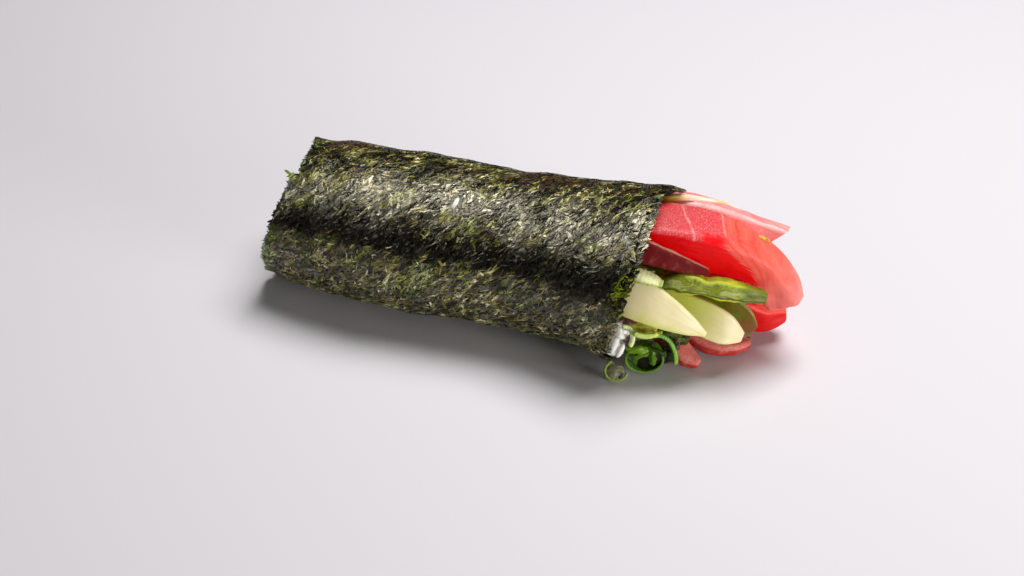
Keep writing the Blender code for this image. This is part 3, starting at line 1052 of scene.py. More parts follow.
@dataclass(frozen=True)
class Plate:
    """A small flat form that is repeated: long along Z, wide along X and thin along Y."""

    sides: int
    top_share: float = 0.8

    def arrays(self) -> tuple[Array, Array]:
        """Its points, and its faces as triangles."""
        bm = bmesh.new()
        bmesh.ops.create_circle(bm, cap_ends=True, segments=self.sides, radius=1.0)
        bmesh.ops.translate(bm, verts=bm.verts[:], vec=(0.0, 0.0, -1.0))
        raised = bmesh.ops.extrude_face_region(bm, geom=bm.faces[:])["geom"]
        top = [item for item in raised if isinstance(item, bmesh.types.BMVert)]
        bmesh.ops.translate(bm, verts=top, vec=(0.0, 0.0, 2.0))
        bmesh.ops.scale(bm, verts=top, vec=(self.top_share, self.top_share, 1.0))
        points, faces = as_arrays(bm)
        return points[:, [1, 2, 0]], faces


def joined(name: str, spots: Array, faces: Array, tints: Optional[Array] = None) -> bpy.types.Mesh:
    """One mesh of many copies.

    Args:
        name: The mesh's name.
        spots: Points, as copies by points by three.
        faces: One copy's triangles.
        tints: A colour and gloss for each copy, or for each of its points.

    Returns:
        The mesh.
    """
    copies, count = spots.shape[:2]
    every = faces[None, :, :] + (np.arange(copies) * count)[:, None, None]
    mesh = bpy.data.meshes.new(name)
    mesh.from_pydata(spots.reshape(-1, 3), [], every.reshape(-1, 3).tolist())
    if tints is not None:
        layer = mesh.color_attributes.new(name="tint", type="FLOAT_COLOR", domain="POINT")
        every_tint = np.repeat(tints, count, axis=0) if tints.ndim == 2 else tints
        layer.data.foreach_set("color", every_tint.ravel())
    mesh.validate()
    return mesh


# ------------ the seaweed


@dataclass(frozen=True)
class Chip:
    """One chip of seaweed: its place on the roll, size, direction, height and colour."""

    x: float
    angle: float
    length: float
    width: float
    height: float
    heading: float
    lift: float
    colour: Colour


LIME = tone(188, 196, 20)
LEAF = tone(120, 156, 24)
RUST = tone(120, 50, 30)
STRAW = tone(206, 190, 140)
TEAL = tone(70, 130, 100)
TATTERS = (
    Chip(110.0, 47.0, 1.8, 0.4, 0.3, 20.0, 0.1, RUST),
    Chip(110.1, 52.0, 1.6, 0.4, 0.3, -20.0, 0.1, STRAW),
    Chip(110.4, 43.5, 2.0, 0.35, 0.3, 10.0, 0.1, STRAW),
    Chip(109.8, 78.0, 1.6, 0.4, 0.3, 30.0, 0.0, RUST),
    Chip(110.0, 84.0, 1.8, 0.6, 0.3, -30.0, 0.0, TEAL),
    Chip(110.2, 92.0, 1.8, 0.6, 0.3, 20.0, 0.0, TEAL),
    Chip(109.8, 68.0, 1.5, 0.5, 0.3, 60.0, 0.0, RUST),
    Chip(6.7, 65.0, 3.0, 1.1, 0.3, 32.0, 0.2, LEAF),
    Chip(9.0, 99.0, 3.0, 1.3, 0.3, -10.0, 0.0, LEAF),
    Chip(27.0, 88.0, 4.6, 1.2, 0.25, -2.0, 0.05, LEAF),
    Chip(29.5, 85.5, 2.6, 0.9, 0.25, -8.0, 0.05, tone(150, 180, 50)),
    Chip(52.5, 82.0, 2.2, 1.2, 0.25, 10.0, 0.05, tone(150, 178, 40)),
    Chip(36.0, 76.0, 3.4, 0.8, 0.2, 4.0, 0.1, tone(222, 204, 160)),
    Chip(7.8, 30.0, 2.6, 1.5, 0.3, -60.0, 0.0, tone(176, 150, 110)),
    Chip(4.2, -8.0, 2.4, 0.8, 0.3, -70.0, 0.0, LEAF),
    Chip(3.9, -16.0, 2.0, 0.8, 0.3, -50.0, 0.0, LIME),
)
SILVER = tone(196, 198, 192)
FAN = tuple(
    Chip(106.8 + 0.5 * n, 56.0 - 1.2 * n, 3.0, 0.34, 0.2, 96.0 - 4.0 * n, 0.06, SILVER)
    for n in range(9)
)


@dataclass(frozen=True)
class StrandKind:
    """One kind of strand on the sheet, with the least and most of each size in millimetres."""

    name: str
    finish: str
    form: Plate
    count: int
    length: tuple[float, float]
    width: tuple[float, float]
    height: tuple[float, float]
    lift: tuple[float, float]
    bend: float
    tilt: float
    bright: float


STRAND_KINDS = (
    StrandKind(
        "nori_flakes",
        "nori_film",
        Plate(5),
        7500,
        length=(1.4, 3.6),
        width=(0.5, 1.3),
        height=(0.08, 0.14),
        lift=(-0.02, 0.07),
        bend=0.2,
        tilt=5.0,
        bright=-0.16,
    ),
    StrandKind(
        "nori_strands",
        "nori_strand",
        Plate(4, 0.7),
        10500,
        length=(1.0, 3.2),
        width=(0.3, 0.65),
        height=(0.12, 0.2),
        lift=(0.0, 0.10),
        bend=0.22,
        tilt=9.0,
        bright=0.0,
    ),
    StrandKind(
        "nori_fibres",
        "nori_fibre",
        Plate(4, 0.5),
        14000,
        length=(0.9, 3.0),
        width=(0.16, 0.36),
        height=(0.12, 0.24),
        lift=(0.03, 0.14),
        bend=0.3,
        tilt=16.0,
        bright=0.06,
    ),
)
FILM_IOR = {"nori_film": 1.6, "nori_strand": 1.35, "nori_fibre": 1.42}
GRAIN_HOLE = (57.5, 61.5)


@dataclass(frozen=True)
class Speckle:
    """Strands of one other colour, with the least and most of its brightness."""

    colour: Colour
    least: float
    most: float

    def paint(self, colours: Array, chance: Array, rng: np.random.Generator) -> None:
        """Recolours the strands whose chance comes up."""
        chosen = rng.random(len(chance)) < chance
        shades = rng.uniform(self.least, self.most, (chosen.sum(), 1))
        colours[chosen] = np.array(self.colour) * shades


@dataclass(frozen=True)
class NoriShades:
    """The strands' colours, by where they lie on the roll.

    The sheet is lightened where it faces up, a painted light. A band along its front is darkened,
    a painted shade where its gloss would mirror dark surroundings, and under that it is lighter
    and grey-green, a painted reflection of the pale floor. It is brown in patches along the top,
    and lime at one spot of each end's edge.
    """

    form: SheetForm
    palette: tuple[Colour, ...] = (
        tone(3, 3, 2),
        tone(10, 9, 5),
        tone(32, 28, 12),
        tone(78, 70, 28),
        tone(126, 116, 48),
        tone(172, 162, 84),
        tone(216, 204, 140),
        tone(250, 238, 200),
    )
    # Grey strands low on the front: a painted reflection of the pale floor.
    grey: Speckle = Speckle(tone(118, 113, 106), 0.3, 1.4)
    brown: Speckle = Speckle(tone(100, 70, 46), 0.2, 1.4)
    lime: Speckle = Speckle(tone(176, 184, 24), 0.1, 1.1)
    contrast: float = 0.75
    streaks: float = 0.50
    clouds: float = 0.14
    # Painted shade: the dark band along the front. Under it, the low band holds a painted reflection
    # of the pale floor.
    dark_angle: float = 28.0
    dark_width: float = 8.0
    dark_depth: float = 0.46
    low_angle: float = 22.0
    low_over: float = 9.0
    low_light: float = 0.46
    low_grey: float = 0.42
    low_fade: float = 0.20
    flare_from: float = 72.0
    flare_over: float = 24.0
    greener: float = 0.11
    edge_greener: float = 0.2
    gloss: tuple[float, float] = (0.18, 0.42)

    def _uneven(self, x: Array, arc: Array) -> Array:
        """Broad clouds, and streaks that lie slanting like most strands."""
        grain, across = 0.67 * x - 0.74 * arc, 0.74 * x + 0.67 * arc
        broad = self.clouds * value_noise(x / 8.0, arc / 6.0, 21.0)
        return broad + self.streaks * value_noise(grain / 3.4, across / 1.5, 22.0)

    @staticmethod
    def _edges(x: Array, angle: Array, from_left: Array, from_right: Array) -> Array:
        """The edges: a little lighter, but darker at the mouth, and a painted highlight at the left
        front.
        """
        near = smooth_step(1.0 - np.minimum(from_left, from_right) / 4.0)
        mouth = smooth_step(1.0 - from_right / 5.0) * smooth_step(angle / 40.0)
        # Painted highlight: the glossy band at the left end, lightened.
        left_front = hump(angle, 54.0, 14.0) * smooth_step((30.0 - x) / 16.0)
        return 0.06 * near - 0.20 * mouth + 0.16 * left_front

    def _bands(self, angle: Array, flare: Array, low: Array) -> Array:
        """The painted light and shade: light on top, a floor reflection low down, and a dark front
        band that widens and sinks towards the mouth.
        """
        # Painted shade along the front, and painted light on the strands that face up.
        dark = hump(angle, self.dark_angle - 3.0 * flare, self.dark_width + 4.0 * flare)
        top = smooth_step((angle - 62.0) / 18.0)
        return 0.08 * top + self.low_light * low - self.dark_depth * dark

    @staticmethod
    def _browns(x: Array, angle: Array, arc: Array) -> Array:
        """The chance of brown, in patches along the top."""
        patches = smooth_step(0.5 + 1.8 * value_noise(x / 9.0, arc / 4.0, 31.0))
        return hump(angle, 110.0, 14.0) * patches

    @staticmethod
    def _limes(angle: Array, from_left: Array, from_right: Array) -> Array:
        """The chance of lime, at one spot of each end's edge."""
        mouth = 0.85 * smooth_step(1.4 - from_right / 2.2) * hump(angle, 22.0, 13.0)
        return mouth + 0.45 * smooth_step(1.5 - from_left / 4.0) * hump(angle, 4.0, 12.0)

    def tints(
        self, along: Array, turns: Array, rng: np.random.Generator, bright: float
    ) -> Array:
        """A colour and a roughness for each strand.

        Args:
            along: Place of each as a share of the width.
            turns: Its place in turns.
            rng: Where the luck comes from.
            bright: How much lighter this kind of strand is.

        Returns:
            Four numbers a strand.
        """
        count = len(along)
        x, angle = self.form.place(along, turns)
        angle = np.mod(angle + 90.0, 360.0) - 90.0
        arc = turns * self.form.arc
        from_left, from_right = along * self.form.width, (1.0 - along) * self.form.width
        flare = smooth_step((x - self.flare_from) / self.flare_over)
        # The low band, where the floor's reflection is painted.
        low = smooth_step((self.low_angle - 8.0 * flare - angle) / self.low_over)
        luck = self.contrast * rng.beta(0.8, 1.6, count) + bright + self._uneven(x, arc)
        luck += self._edges(x, angle, from_left, from_right) + self._bands(angle, flare, low)
        luck *= 1.0 - self.low_fade * low
        palette = np.array(self.palette)
        position = np.clip(luck, 0.0, 0.999) * (len(palette) - 1)
        index = position.astype(int)
        share = (position - index)[:, None]
        colour = palette[index] * (1.0 - share) + palette[index + 1] * share
        # Painted reflection of the floor: grey strands in the low band.
        self.grey.paint(colour, self.low_grey * low, rng)
        self.brown.paint(colour, self._browns(x, angle, arc), rng)
        self.lime.paint(colour, self._limes(angle, from_left, from_right), rng)
        patches = smooth_step(value_noise(x / 5.0, arc / 5.0, 41.0) * 2.0 - 0.4)
        greener = self.greener * patches + self.edge_greener * smooth_step(1.0 - from_left / 5.0)
        greener = rng.uniform(-0.05, 0.10, (count, 1)) + greener[:, None]
        colour = colour * (1.0 + greener * np.array([-1.0, 0.6, -1.6]))
        colour = colour * rng.uniform(0.7, 1.25, (count, 1))
        return np.concatenate([colour, rng.uniform(*self.gloss, (count, 1))], axis=1)


@dataclass
class NoriWrap:
    """The rolled sheet with the strands and flakes that are pressed into it.

    Attributes:
        base_lift: Height of its outside over the solid's.
        inner_shift: What makes the finish inside differ from the one outside.
        under_share: Share of the strands on the inner turn, past under_from of the width.
        slant: The usual direction of the strands, in degrees.
        fringe_sides: Share of the fringe at the two ends. The rest is along the outer edge.
        tip_start: Where the strands of the torn tip start, round about tip_angle.
    """

    shop: Workshop
    form: SheetForm = field(default_factory=SheetForm)
    columns: int = 170
    outer_rows: int = 236
    inner_rows: int = 30
    base_lift: float = -0.20
    relief_mm: float = 0.11
    thickness: float = 0.26
    inner_shift: float = 300.0
    tear: float = 0.008
    hole_radius: float = 2.1
    under_share: float = 0.02
    under_from: float = 0.955
    slant: float = -48.0
    fringe_count: int = 1100
    fringe_sides: float = 0.84
    fringe_bright: float = -0.14
    tip_count: int = 420
    tip_start: float = 108.2
    tip_angle: float = 114.0

    def build(self) -> None:
        """Makes the sheet, its flakes, its strands and its frayed edges."""
        sheet = NoriSheetFinish().material()
        self.shop.finish("nori_sheet", self._sheet(), sheet, Slot.NORI, ["nori_wrap"])
        films = {name: StrandFinish(name, ior).material() for name, ior in FILM_IOR.items()}
        rng = np.random.default_rng(11)
        for kind in STRAND_KINDS:
            mesh = self._scattered(kind, rng)
            self.shop.finish(kind.name, mesh, films[kind.finish], Slot.NORI, facets=True)
        self.shop.finish("nori_fringe", self._fringe(rng), films["nori_strand"], Slot.NORI)
        self.shop.finish("nori_tatters", self._tatters(rng), films["nori_fibre"], Slot.NORI)

    def _sheet(self) -> bpy.types.Mesh:
        """The sheet as two surfaces joined along its edges."""
        rows = self.outer_rows + self.inner_rows
        bm = bmesh.new()
        lay = bm.verts.layers.float_vector.new("lay")
        bmesh.ops.create_grid(bm, x_segments=self.columns, y_segments=rows, size=0.5)
        outside = list(bm.verts)
        flat = np.array([vert.co[:] for vert in outside])
        along, row = flat[:, 0] + 0.5, (flat[:, 1] + 0.5) * rows
        turns = np.where(
            row <= self.outer_rows,
            row / self.outer_rows,
            1.0 + (row - self.outer_rows) / self.inner_rows * (self.form.turns - 1.0),
        )
        tear = value_noise(turns * 90.0, turns * 0.0, 7.0) + value_noise(turns * 210.0, 0.0, 8.0)
        tear = self.tear * smooth_step(0.5 + tear * 0.5)
        along = along * (1.0 - 2.0 * tear) + tear
        x, arc = along * self.form.width, turns * self.form.arc
        relief = self.form.relief(x, arc) * self.relief_mm
        calm = 1.0 - 0.8 * smooth_step((turns - 0.97) / 0.05)
        outer = self.form.points(along, turns, self.base_lift + relief * calm)
        inner = self.form.points(along, turns, self.base_lift - self.thickness + relief * calm * 0.4)
        copied = bmesh.ops.duplicate(bm, geom=bm.verts[:] + bm.edges[:] + bm.faces[:])
        for index, vert in enumerate(outside):
            vert.co = outer[index]
            vert[lay] = (x[index], arc[index], turns[index])
            twin = copied["vert_map"][vert]
            twin.co = inner[index]
            twin[lay] = (x[index] + self.inner_shift, arc[index], turns[index])
        bmesh.ops.bridge_loops(bm, edges=[edge for edge in bm.edges if edge.is_boundary])
        return to_mesh(bm, "nori_sheet")

    def _laid(
        self,
        seed: Union[Ball, Plate],
        along: Array,
        turns: Array,
        length: Array,
        width: Array,
        height: Array,
        heading: Array,
        bend: Array,
        tilt: Array,
        lift: Array,
    ) -> Array:
        """Copies of a small form laid on the sheet.

        Args:
            seed: The form.
            along: Place of each as a share of the width.
            turns: Its place in turns.
            length: Its length, and so on for width and height.
            heading: Its direction on the flat sheet, in degrees from +X.
            bend: Its curve, as sideways millimetres at its ends.
            tilt: Its roll about its own length, in degrees.
            lift: Its height over the sheet's own surface.

        Returns:
            Points, as copies by points by three.
        """
        points, _ = seed.arrays()
        s = points[:, 2][None, :] * length[:, None] / 2.0
        w = points[:, 0][None, :] * width[:, None] / 2.0
        h = -points[:, 1][None, :] * height[:, None] / 2.0
        lean = np.radians(tilt)[:, None]
        w, h = w * np.cos(lean) - h * np.sin(lean), w * np.sin(lean) + h * np.cos(lean)
        w = w + bend[:, None] * (points[:, 2][None, :] ** 2)
        turn = np.radians(heading)[:, None]
        dx = s * np.cos(turn) - w * np.sin(turn)
        darc = s * np.sin(turn) + w * np.cos(turn)
        x = along[:, None] * self.form.width + dx
        arc = turns[:, None] * self.form.arc + darc
        here = self.form.relief(along * self.form.width, turns * self.form.arc)[:, None]
        near = self.form.relief(x, arc)
        base = self.base_lift + self.relief_mm * (0.5 * here + 0.5 * near)
        spots = self.form.points(
            (x / self.form.width).ravel(),
            (arc / self.form.arc).ravel(),
            (base + lift[:, None] + h).ravel(),
        )
        return spots.reshape(*s.shape, 3)

    def _clear_of_hole(self, along: Array, turns: Array) -> Array:
        """Which places leave the small hole with the rice grain open."""
        x, angle = self.form.place(along, turns)
        hole_x, hole_angle = GRAIN_HOLE
        away = np.hypot(x - hole_x, (angle - hole_angle) * self.form.arc / 360.0)
        return away > self.hole_radius

    def _headings(self, count: int, rng: np.random.Generator) -> Array:
        """Directions: most strands lie slanting one way, some at random."""
        slanting = rng.normal(self.slant, 30.0, count)
        return np.where(rng.random(count) < 0.3, rng.uniform(0.0, 180.0, count), slanting)

    def _scattered(self, kind: StrandKind, rng: np.random.Generator) -> bpy.types.Mesh:
        """One kind of strand over the outside of the sheet, and a few on its inner turn."""
        along = rng.uniform(0.0, 1.0, kind.count)
        turns = rng.uniform(-0.001, 1.0, kind.count)
        under = rng.random(kind.count) < self.under_share
        along = np.where(under, rng.uniform(self.under_from, 1.0, kind.count), along)
        turns = np.where(under, rng.uniform(1.0, self.form.turns, kind.count), turns)
        keep = self._clear_of_hole(along, turns)
        along, turns = along[keep], turns[keep]
        size = len(along)
        spots = self._laid(
            kind.form,
            along,
            turns,
            rng.uniform(*kind.length, size),
            rng.uniform(*kind.width, size),
            rng.uniform(*kind.height, size),
            self._headings(size, rng),
            rng.normal(0.0, kind.bend, size),
            rng.normal(0.0, kind.tilt, size),
            rng.uniform(*kind.lift, size),
        )
        tints = NoriShades(self.form).tints(along, turns, rng, kind.bright)
        return joined(kind.name, spots, kind.form.arrays()[1], tints)

    def _fringe(self, rng: np.random.Generator) -> bpy.types.Mesh:
        """Frayed strands along the left, right and outer edges, and those of the torn tip."""
        seed = Ball(3, 3)
        count = self.fringe_count
        side = rng.random(count)
        at_left, at_sides = side < self.fringe_sides / 2.0, side < self.fringe_sides
        along = np.where(at_left, 0.003, np.where(at_sides, 0.997, rng.random(count)))
        turns = np.where(at_sides, rng.uniform(0.0, 1.0, count), 0.002)
        heading = np.where(at_sides, rng.normal(0.0, 35.0, count), rng.normal(60.0, 40.0, count))
        tip_angle = rng.uniform(self.tip_angle - 18.0, self.tip_angle + 13.0, self.tip_count)
        tip_reach = 4.6 * hump(tip_angle, self.tip_angle, 11.0) + 0.4
        tip_x = self.tip_start + tip_reach * rng.uniform(0.0, 1.0, self.tip_count)
        tip_along, tip_turns = self.form.where(tip_x, tip_angle)
        along, turns = np.concatenate([along, tip_along]), np.concatenate([turns, tip_turns])
        heading = np.concatenate([heading, rng.normal(-20.0, 40.0, self.tip_count)])
        count = len(along)
        spots = self._laid(
            seed,
            along,
            turns,
            rng.uniform(0.8, 2.6, count),
            rng.uniform(0.2, 0.5, count),
            rng.uniform(0.12, 0.2, count),
            heading,
            rng.normal(0.0, 0.2, count),
            rng.normal(0.0, 25.0, count),
            rng.uniform(-0.2, 0.02, count),
        )
        tints = NoriShades(self.form).tints(along, turns, rng, self.fringe_bright)
        return joined("nori_fringe", spots, seed.arrays()[1], tints)

    def _tatters(self, rng: np.random.Generator) -> bpy.types.Mesh:
        """Single chips that stand out, and a fan of pale fibres."""
        seed = Ball(5, 4)
        chips = TATTERS + FAN
        table = np.array([astuple(chip)[:-1] for chip in chips])
        along, turns = self.form.where(table[:, 0], table[:, 1])
        count = len(chips)
        spots = self._laid(
            seed,
            along,
            turns,
            table[:, 2],
            table[:, 3],
            table[:, 4],
            table[:, 5],
            rng.normal(0.0, 0.15, count),
            rng.normal(0.0, 12.0, count),
            table[:, 6],
        )
        tints = np.array([(*chip.colour, 0.3) for chip in chips])
        return joined("nori_tatters", spots, seed.arrays()[1], tints)


# ------------ the rice


GrainSpot = tuple[Array, float, float]
MOUTH_GRAINS = (
    ((107.6, -18.6, 15.6), (0.3, -0.3, 1.0)),
    ((106.8, -19.6, 12.6), (0.2, 0.5, 1.0)),
    ((107.9, -18.2, 9.8), (0.4, 0.2, 1.0)),
)


@dataclass
class RiceBed:
    """The rice between sheet and fillings: a core, with real grains at both open ends.

    A grain's spot is its centre, its angle round the roll and the room it has outwards.

    Attributes:
        mean: Thickness of the bed, with bias more of it below and less above.
        slack: Gap between bed and sheet.
        left_recess: How far the rice stays inside the sheet's left edge.
        right: Where the rice ends at the mouth. It reaches further out at reach_angle.
        shrink: How much thinner the core is, and end_shrink how much shorter.
        first_depth: Depth of the outermost grains. Each further layer adds layer_depth.
        gap_x: Where the gaps between the strips are looked for.
        hole_sink: How far the single grain lies under the sheet's surface.
    """

    shop: Workshop
    form: SheetForm = field(default_factory=SheetForm)
    mean: float = 5.0
    bias: float = 4.0
    slack: float = 0.3
    double_sheet: float = 1.6
    left_recess: float = 2.0
    right: float = 98.0
    reach: float = 8.6
    reach_angle: float = -25.0
    bump: float = 0.45
    columns: int = 46
    segments: int = 72
    shrink: float = 0.7
    end_shrink: float = 2.4
    core_floor: float = 0.8
    grain: tuple[float, float, float] = (4.9, 2.3, 2.0)
    grain_floor: float = 1.6
    tries: int = 900
    layers: int = 3
    first_depth: float = 1.2
    layer_depth: float = 1.7
    apart: float = 2.15
    gap_x: float = 10.6
    gap_tries: int = 2600
    gap_layer: float = 1.9
    gap_apart: float = 2.1
    gap_clear: float = 0.7
    hole_sink: float = 0.75

    def outer(self, x: Array, angle: Array) -> Array:
        """Radius where the rice meets the sheet."""
        past = np.mod(self.form.seam_angle(x) - angle, 360.0) / 360.0
        tail = 1.0 - smooth_step((past - (self.form.turns - 1.0) - 0.005) / 0.025)
        sinking = smooth_step((past - self.form.sink_start) / (1.0 - self.form.sink_start))
        layers = 1.0 + np.maximum(tail, sinking)
        radius = self.form.roll.radius(x) + self.form.roll.wave(x, angle)
        return radius - self.form.pitch * layers - self.slack

    def inner(self, x: Array, angle: Array) -> Array:
        """Radius of the hollow that holds the fillings."""
        thick = self.mean - self.bias * np.sin(np.radians(angle))
        return self.form.roll.radius(x) - self.double_sheet - thick

    def end(self, angle: Array, left: bool) -> Array:
        """Where the rice ends along the roll."""
        turn = np.radians(angle)
        bump = self.bump * (np.sin(5.0 * turn + 0.7) + np.sin(9.0 * turn + 2.0))
        if left:
            return self.form.left(angle, 0.5) + self.left_recess + bump
        facing = (1.0 + np.cos(np.radians(angle - self.reach_angle))) / 2.0
        return self.right + self.reach * smooth_step(facing) + bump

    def build(self) -> None:
        """Makes the core and the grains."""
        material = RiceFinish().material()
        self.shop.finish("rice_core", self._core(), material, Slot.RICE, ["rice_bed"])
        self.shop.finish("rice_grains", self._grains(), material, Slot.RICE)

    def _core(self) -> bpy.types.Mesh:
        """The sticky mass behind the grains, with lumps of their size."""
        bm = bmesh.new()
        steps = 2 * self.columns
        bmesh.ops.create_grid(bm, x_segments=steps, y_segments=self.segments, size=0.5)
        flat = np.array([vert.co[:] for vert in bm.verts])
        index = np.rint((flat[:, 0] + 0.5) * steps)
        angle = (flat[:, 1] + 0.5) * 360.0
        outward = index <= self.columns
        share = np.where(outward, index / self.columns, (steps - index) / (self.columns - 1))
        share = smooth_step(np.minimum(share, 1.0)) * 0.5 + np.minimum(share, 1.0) * 0.5
        left = self.end(angle, True) + self.end_shrink
        right = self.end(angle, False) - self.end_shrink
        x = left + (right - left) * share
        wide = self.outer(x, angle) - self.shrink * 0.3
        narrow = self.inner(x, angle) + self.shrink * 0.6
        lump = np.abs(value_noise(x / 2.4, np.mod(angle, 360.0) / 7.5, 4.0)) * 0.5
        radius = np.where(outward, wide - lump * 0.3, np.minimum(narrow + lump, wide - 0.25))
        spots = self.form.roll.points(x, angle, radius, self.core_floor)
        for vert, spot in zip(bm.verts, spots):
            vert.co = spot
        bmesh.ops.remove_doubles(bm, verts=bm.verts[:], dist=0.0005)
        bmesh.ops.bridge_loops(bm, edges=[edge for edge in bm.edges if edge.is_boundary])
        return to_mesh(bm, "rice_core")

    def _end_spots(self, left: bool, rng: np.random.Generator) -> list[GrainSpot]:
        """Places of the grains at one end, kept a little apart."""
        kept: list[GrainSpot] = []
        sign = 1.0 if left else -1.0
        for layer in range(self.layers):
            angles = rng.uniform(0.0, 360.0, self.tries)
            depth = self.first_depth + self.layer_depth * layer
            depth = depth + rng.uniform(-0.5, 0.5, self.tries)
            x = self.end(angles, left) + sign * depth
            low = self.inner(x, angles) + 1.0
            high = self.outer(x, angles) - (1.6 if left else 1.1)
            radius = low + (high - low) * rng.random(self.tries)
            spots = self.form.roll.points(x, angles, radius, self.grain_floor)
            for spot, angle, room in zip(spots, angles, high - low):
                if room < 0.0:
                    continue
                if all(np.linalg.norm(spot - other[0]) > self.apart for other in kept):
                    kept.append((spot, angle, room))
        return kept

    def _gap_spots(self, rng: np.random.Generator) -> list[GrainSpot]:
        """Places of grains that fill the gaps between the strips at the left end."""
        bundle = FillingBundle(self.shop)
        cuts = [bundle.bundle_cut(filling, self.gap_x) for filling in FILLINGS]
        x = np.array([self.gap_x])
        y, z, _ = (float(value[0]) for value in self.form.roll.at(x))
        kept: list[GrainSpot] = []
        for _ in range(self.gap_tries):
            angle = rng.uniform(0.0, 360.0)
            angles = np.array([angle])
            room = float(self.inner(x, angles)[0]) + 0.6
            room = min(room, float(self.outer(x, angles)[0]) - 1.7)
            radius = room * math.sqrt(rng.random())
            turn = math.radians(angle)
            face = float(self.end(angles, True)[0]) + self.first_depth
            depth = self.gap_x + (face - self.gap_x) * (radius / room) ** 2
            depth += self.gap_layer * rng.integers(0, self.layers)
            spot = np.array([depth, y - radius * math.cos(turn), z + radius * math.sin(turn)])
            inside = any(
                abs(spot[1] - cut.y) < cut.width / 2.0 + self.gap_clear
                and abs(spot[2] - cut.z) < cut.height / 2.0 + self.gap_clear
                for cut in cuts
            )
            if not inside and all(np.linalg.norm(spot - other[0]) > self.gap_apart for other in kept):
                kept.append((spot, angle, 3.0))
        return kept

    def _grains(self) -> bpy.types.Mesh:
        """Grains packed at the two open ends, and the few outside the bed."""
        rng = np.random.default_rng(5)
        points, faces = Ball(8, 6).arrays()
        spots = []
        ends = self._end_spots(True, rng) + self._end_spots(False, rng)
        for spot, angle, room in ends + self._gap_spots(rng):
            turn = math.radians(angle)
            out = np.array([0.0, -math.cos(turn), math.sin(turn)])
            round_way = np.array([0.0, math.sin(turn), math.cos(turn)])
            ahead = np.array([1.0, 0.0, 0.0])
            rise = min(0.5, room / 6.0)
            axis = (
                round_way * rng.normal(0.0, 1.0)
                + ahead * rng.normal(0.0, 0.7)
                + out * rng.normal(0.0, 1.0) * rise
            )
            spots.append(self._one_grain(points, spot, axis, rng))
        for spot, axis in (self._hole_grain(), *MOUTH_GRAINS):
            spots.append(self._one_grain(points, np.array(spot), np.array(axis), rng))
        return joined("rice_grains", np.array(spots), faces)

    def _hole_grain(self) -> tuple[Array, tuple[float, float, float]]:
        """Centre and direction of the grain in the sheet's hole."""
        x, angle = (np.array([value]) for value in GRAIN_HOLE)
        radius = self.form.roll.radius(x) - self.hole_sink
        turn = math.radians(GRAIN_HOLE[1])
        return self.form.roll.points(x, angle, radius)[0], (0.1, math.sin(turn), math.cos(turn))

    def _one_grain(
        self, points: Array, spot: Array, axis: Array, rng: np.random.Generator
    ) -> Array:
        """One grain: plump, slightly bent, of its own size."""
        along = units(axis)
        side = units(np.cross(along, rng.normal(0.0, 1.0, 3)))
        up = np.cross(along, side)
        length, width, height = np.array(self.grain) * rng.uniform(0.86, 1.1, 3) / 2.0
        plump = np.sign(points) * np.abs(points) ** np.array([1.0, 1.0, 0.85])
        bend = 0.22 * (plump[:, 2] ** 2 - 0.4)
        return (
            spot
            + np.outer(plump[:, 2] * length, along)
            + np.outer(plump[:, 0] * width + bend, side)
            + np.outer(plump[:, 1] * height, up)
        )


# ------------ the fillings


@dataclass(frozen=True)
class Cut:
    """One section of a strip: its centre, width, height and roll about its path, in degrees."""

    x: float
    y: float
    z: float
    width: float
    height: float
    roll: float


@dataclass(frozen=True)
class Filling:
    """A filling strip.

    Attributes:
        bundle: Its section at the mouth: place across and above the bundle's centre, width,
            height and roll.
        outside: Its cuts beyond the mouth.
    """

    name: str
    bundle: tuple[float, float, float, float, float]
    outside: tuple[Cut, ...]
    slot: Slot
    finish: Union[TunaFinish, CucumberFinish, PeelFinish, AvocadoFinish, ScallionFinish, RadishFinish]
    form: SweepForm


FLESH = TunaFinish(
    name="tuna_red",
    deep=tone(238, 0, 10),
    top=tone(214, 62, 68),
    coral=tone(238, 96, 80),
    pale=tone(246, 172, 164),
    coral_from=126.0,
    coral_slope=0.075,
    notch_from=121.4,
    shine=0.22,
    sinews=((118.5, -2.3), (127.1, -0.6)),
    rim=0.9,
)
FLESH_CORAL = TunaFinish(
    name="tuna_coral",
    deep=tone(232, 90, 92),
    top=tone(244, 136, 132),
    coral=tone(248, 156, 150),
    pale=tone(250, 230, 226),
    top_from=-0.4,
    coral_from=120.0,
    coral_slope=0.03,
    rim=0.6,
    rim_side=-1.0,
)
FLESH_LOW = TunaFinish(
    name="tuna_bright",
    deep=tone(206, 8, 10),
    top=tone(222, 60, 48),
    coral=tone(238, 84, 70),
    pale=tone(244, 160, 146),
    coral_from=132.0,
    coral_slope=0.02,
    rim=0.8,
    shine=0.22,
)
# Painted shade: the same flesh as the slices above it, coloured dark maroon as if in their shadow,
# with a painted highlight along its top edge and painted sheen patches.
FLESH_DARK = TunaFinish(
    name="tuna_maroon",
    deep=tone(104, 12, 14),
    top=tone(158, 112, 90),
    coral=tone(118, 24, 24),
    pale=tone(206, 150, 122),
    top_from=0.86,
    rim=0.4,
    sheen=0.16,
    gloss=0.5,
    shine=0.15,
)
FLESH_BROWN = TunaFinish(
    name="tuna_brown",
    deep=tone(186, 48, 40),
    top=tone(206, 104, 92),
    coral=tone(200, 76, 64),
    pale=tone(222, 164, 152),
    top_from=0.1,
    sheen=0.4,
)
CUCUMBER_NEAR = CucumberFinish(
    name="cucumber_near",
    cream=tone(230, 216, 168),
    green=tone(206, 206, 104),
    skin=tone(140, 170, 60),
    green_from=2.6,
    green_to=-4.0,
    tip_from=112.0,
)
CUCUMBER_FAR = CucumberFinish(
    name="cucumber_far",
    cream=tone(230, 214, 164),
    green=tone(194, 200, 80),
    skin=tone(150, 176, 70),
    green_from=-2.0,
    green_to=-6.0,
    tip_from=136.0,
)

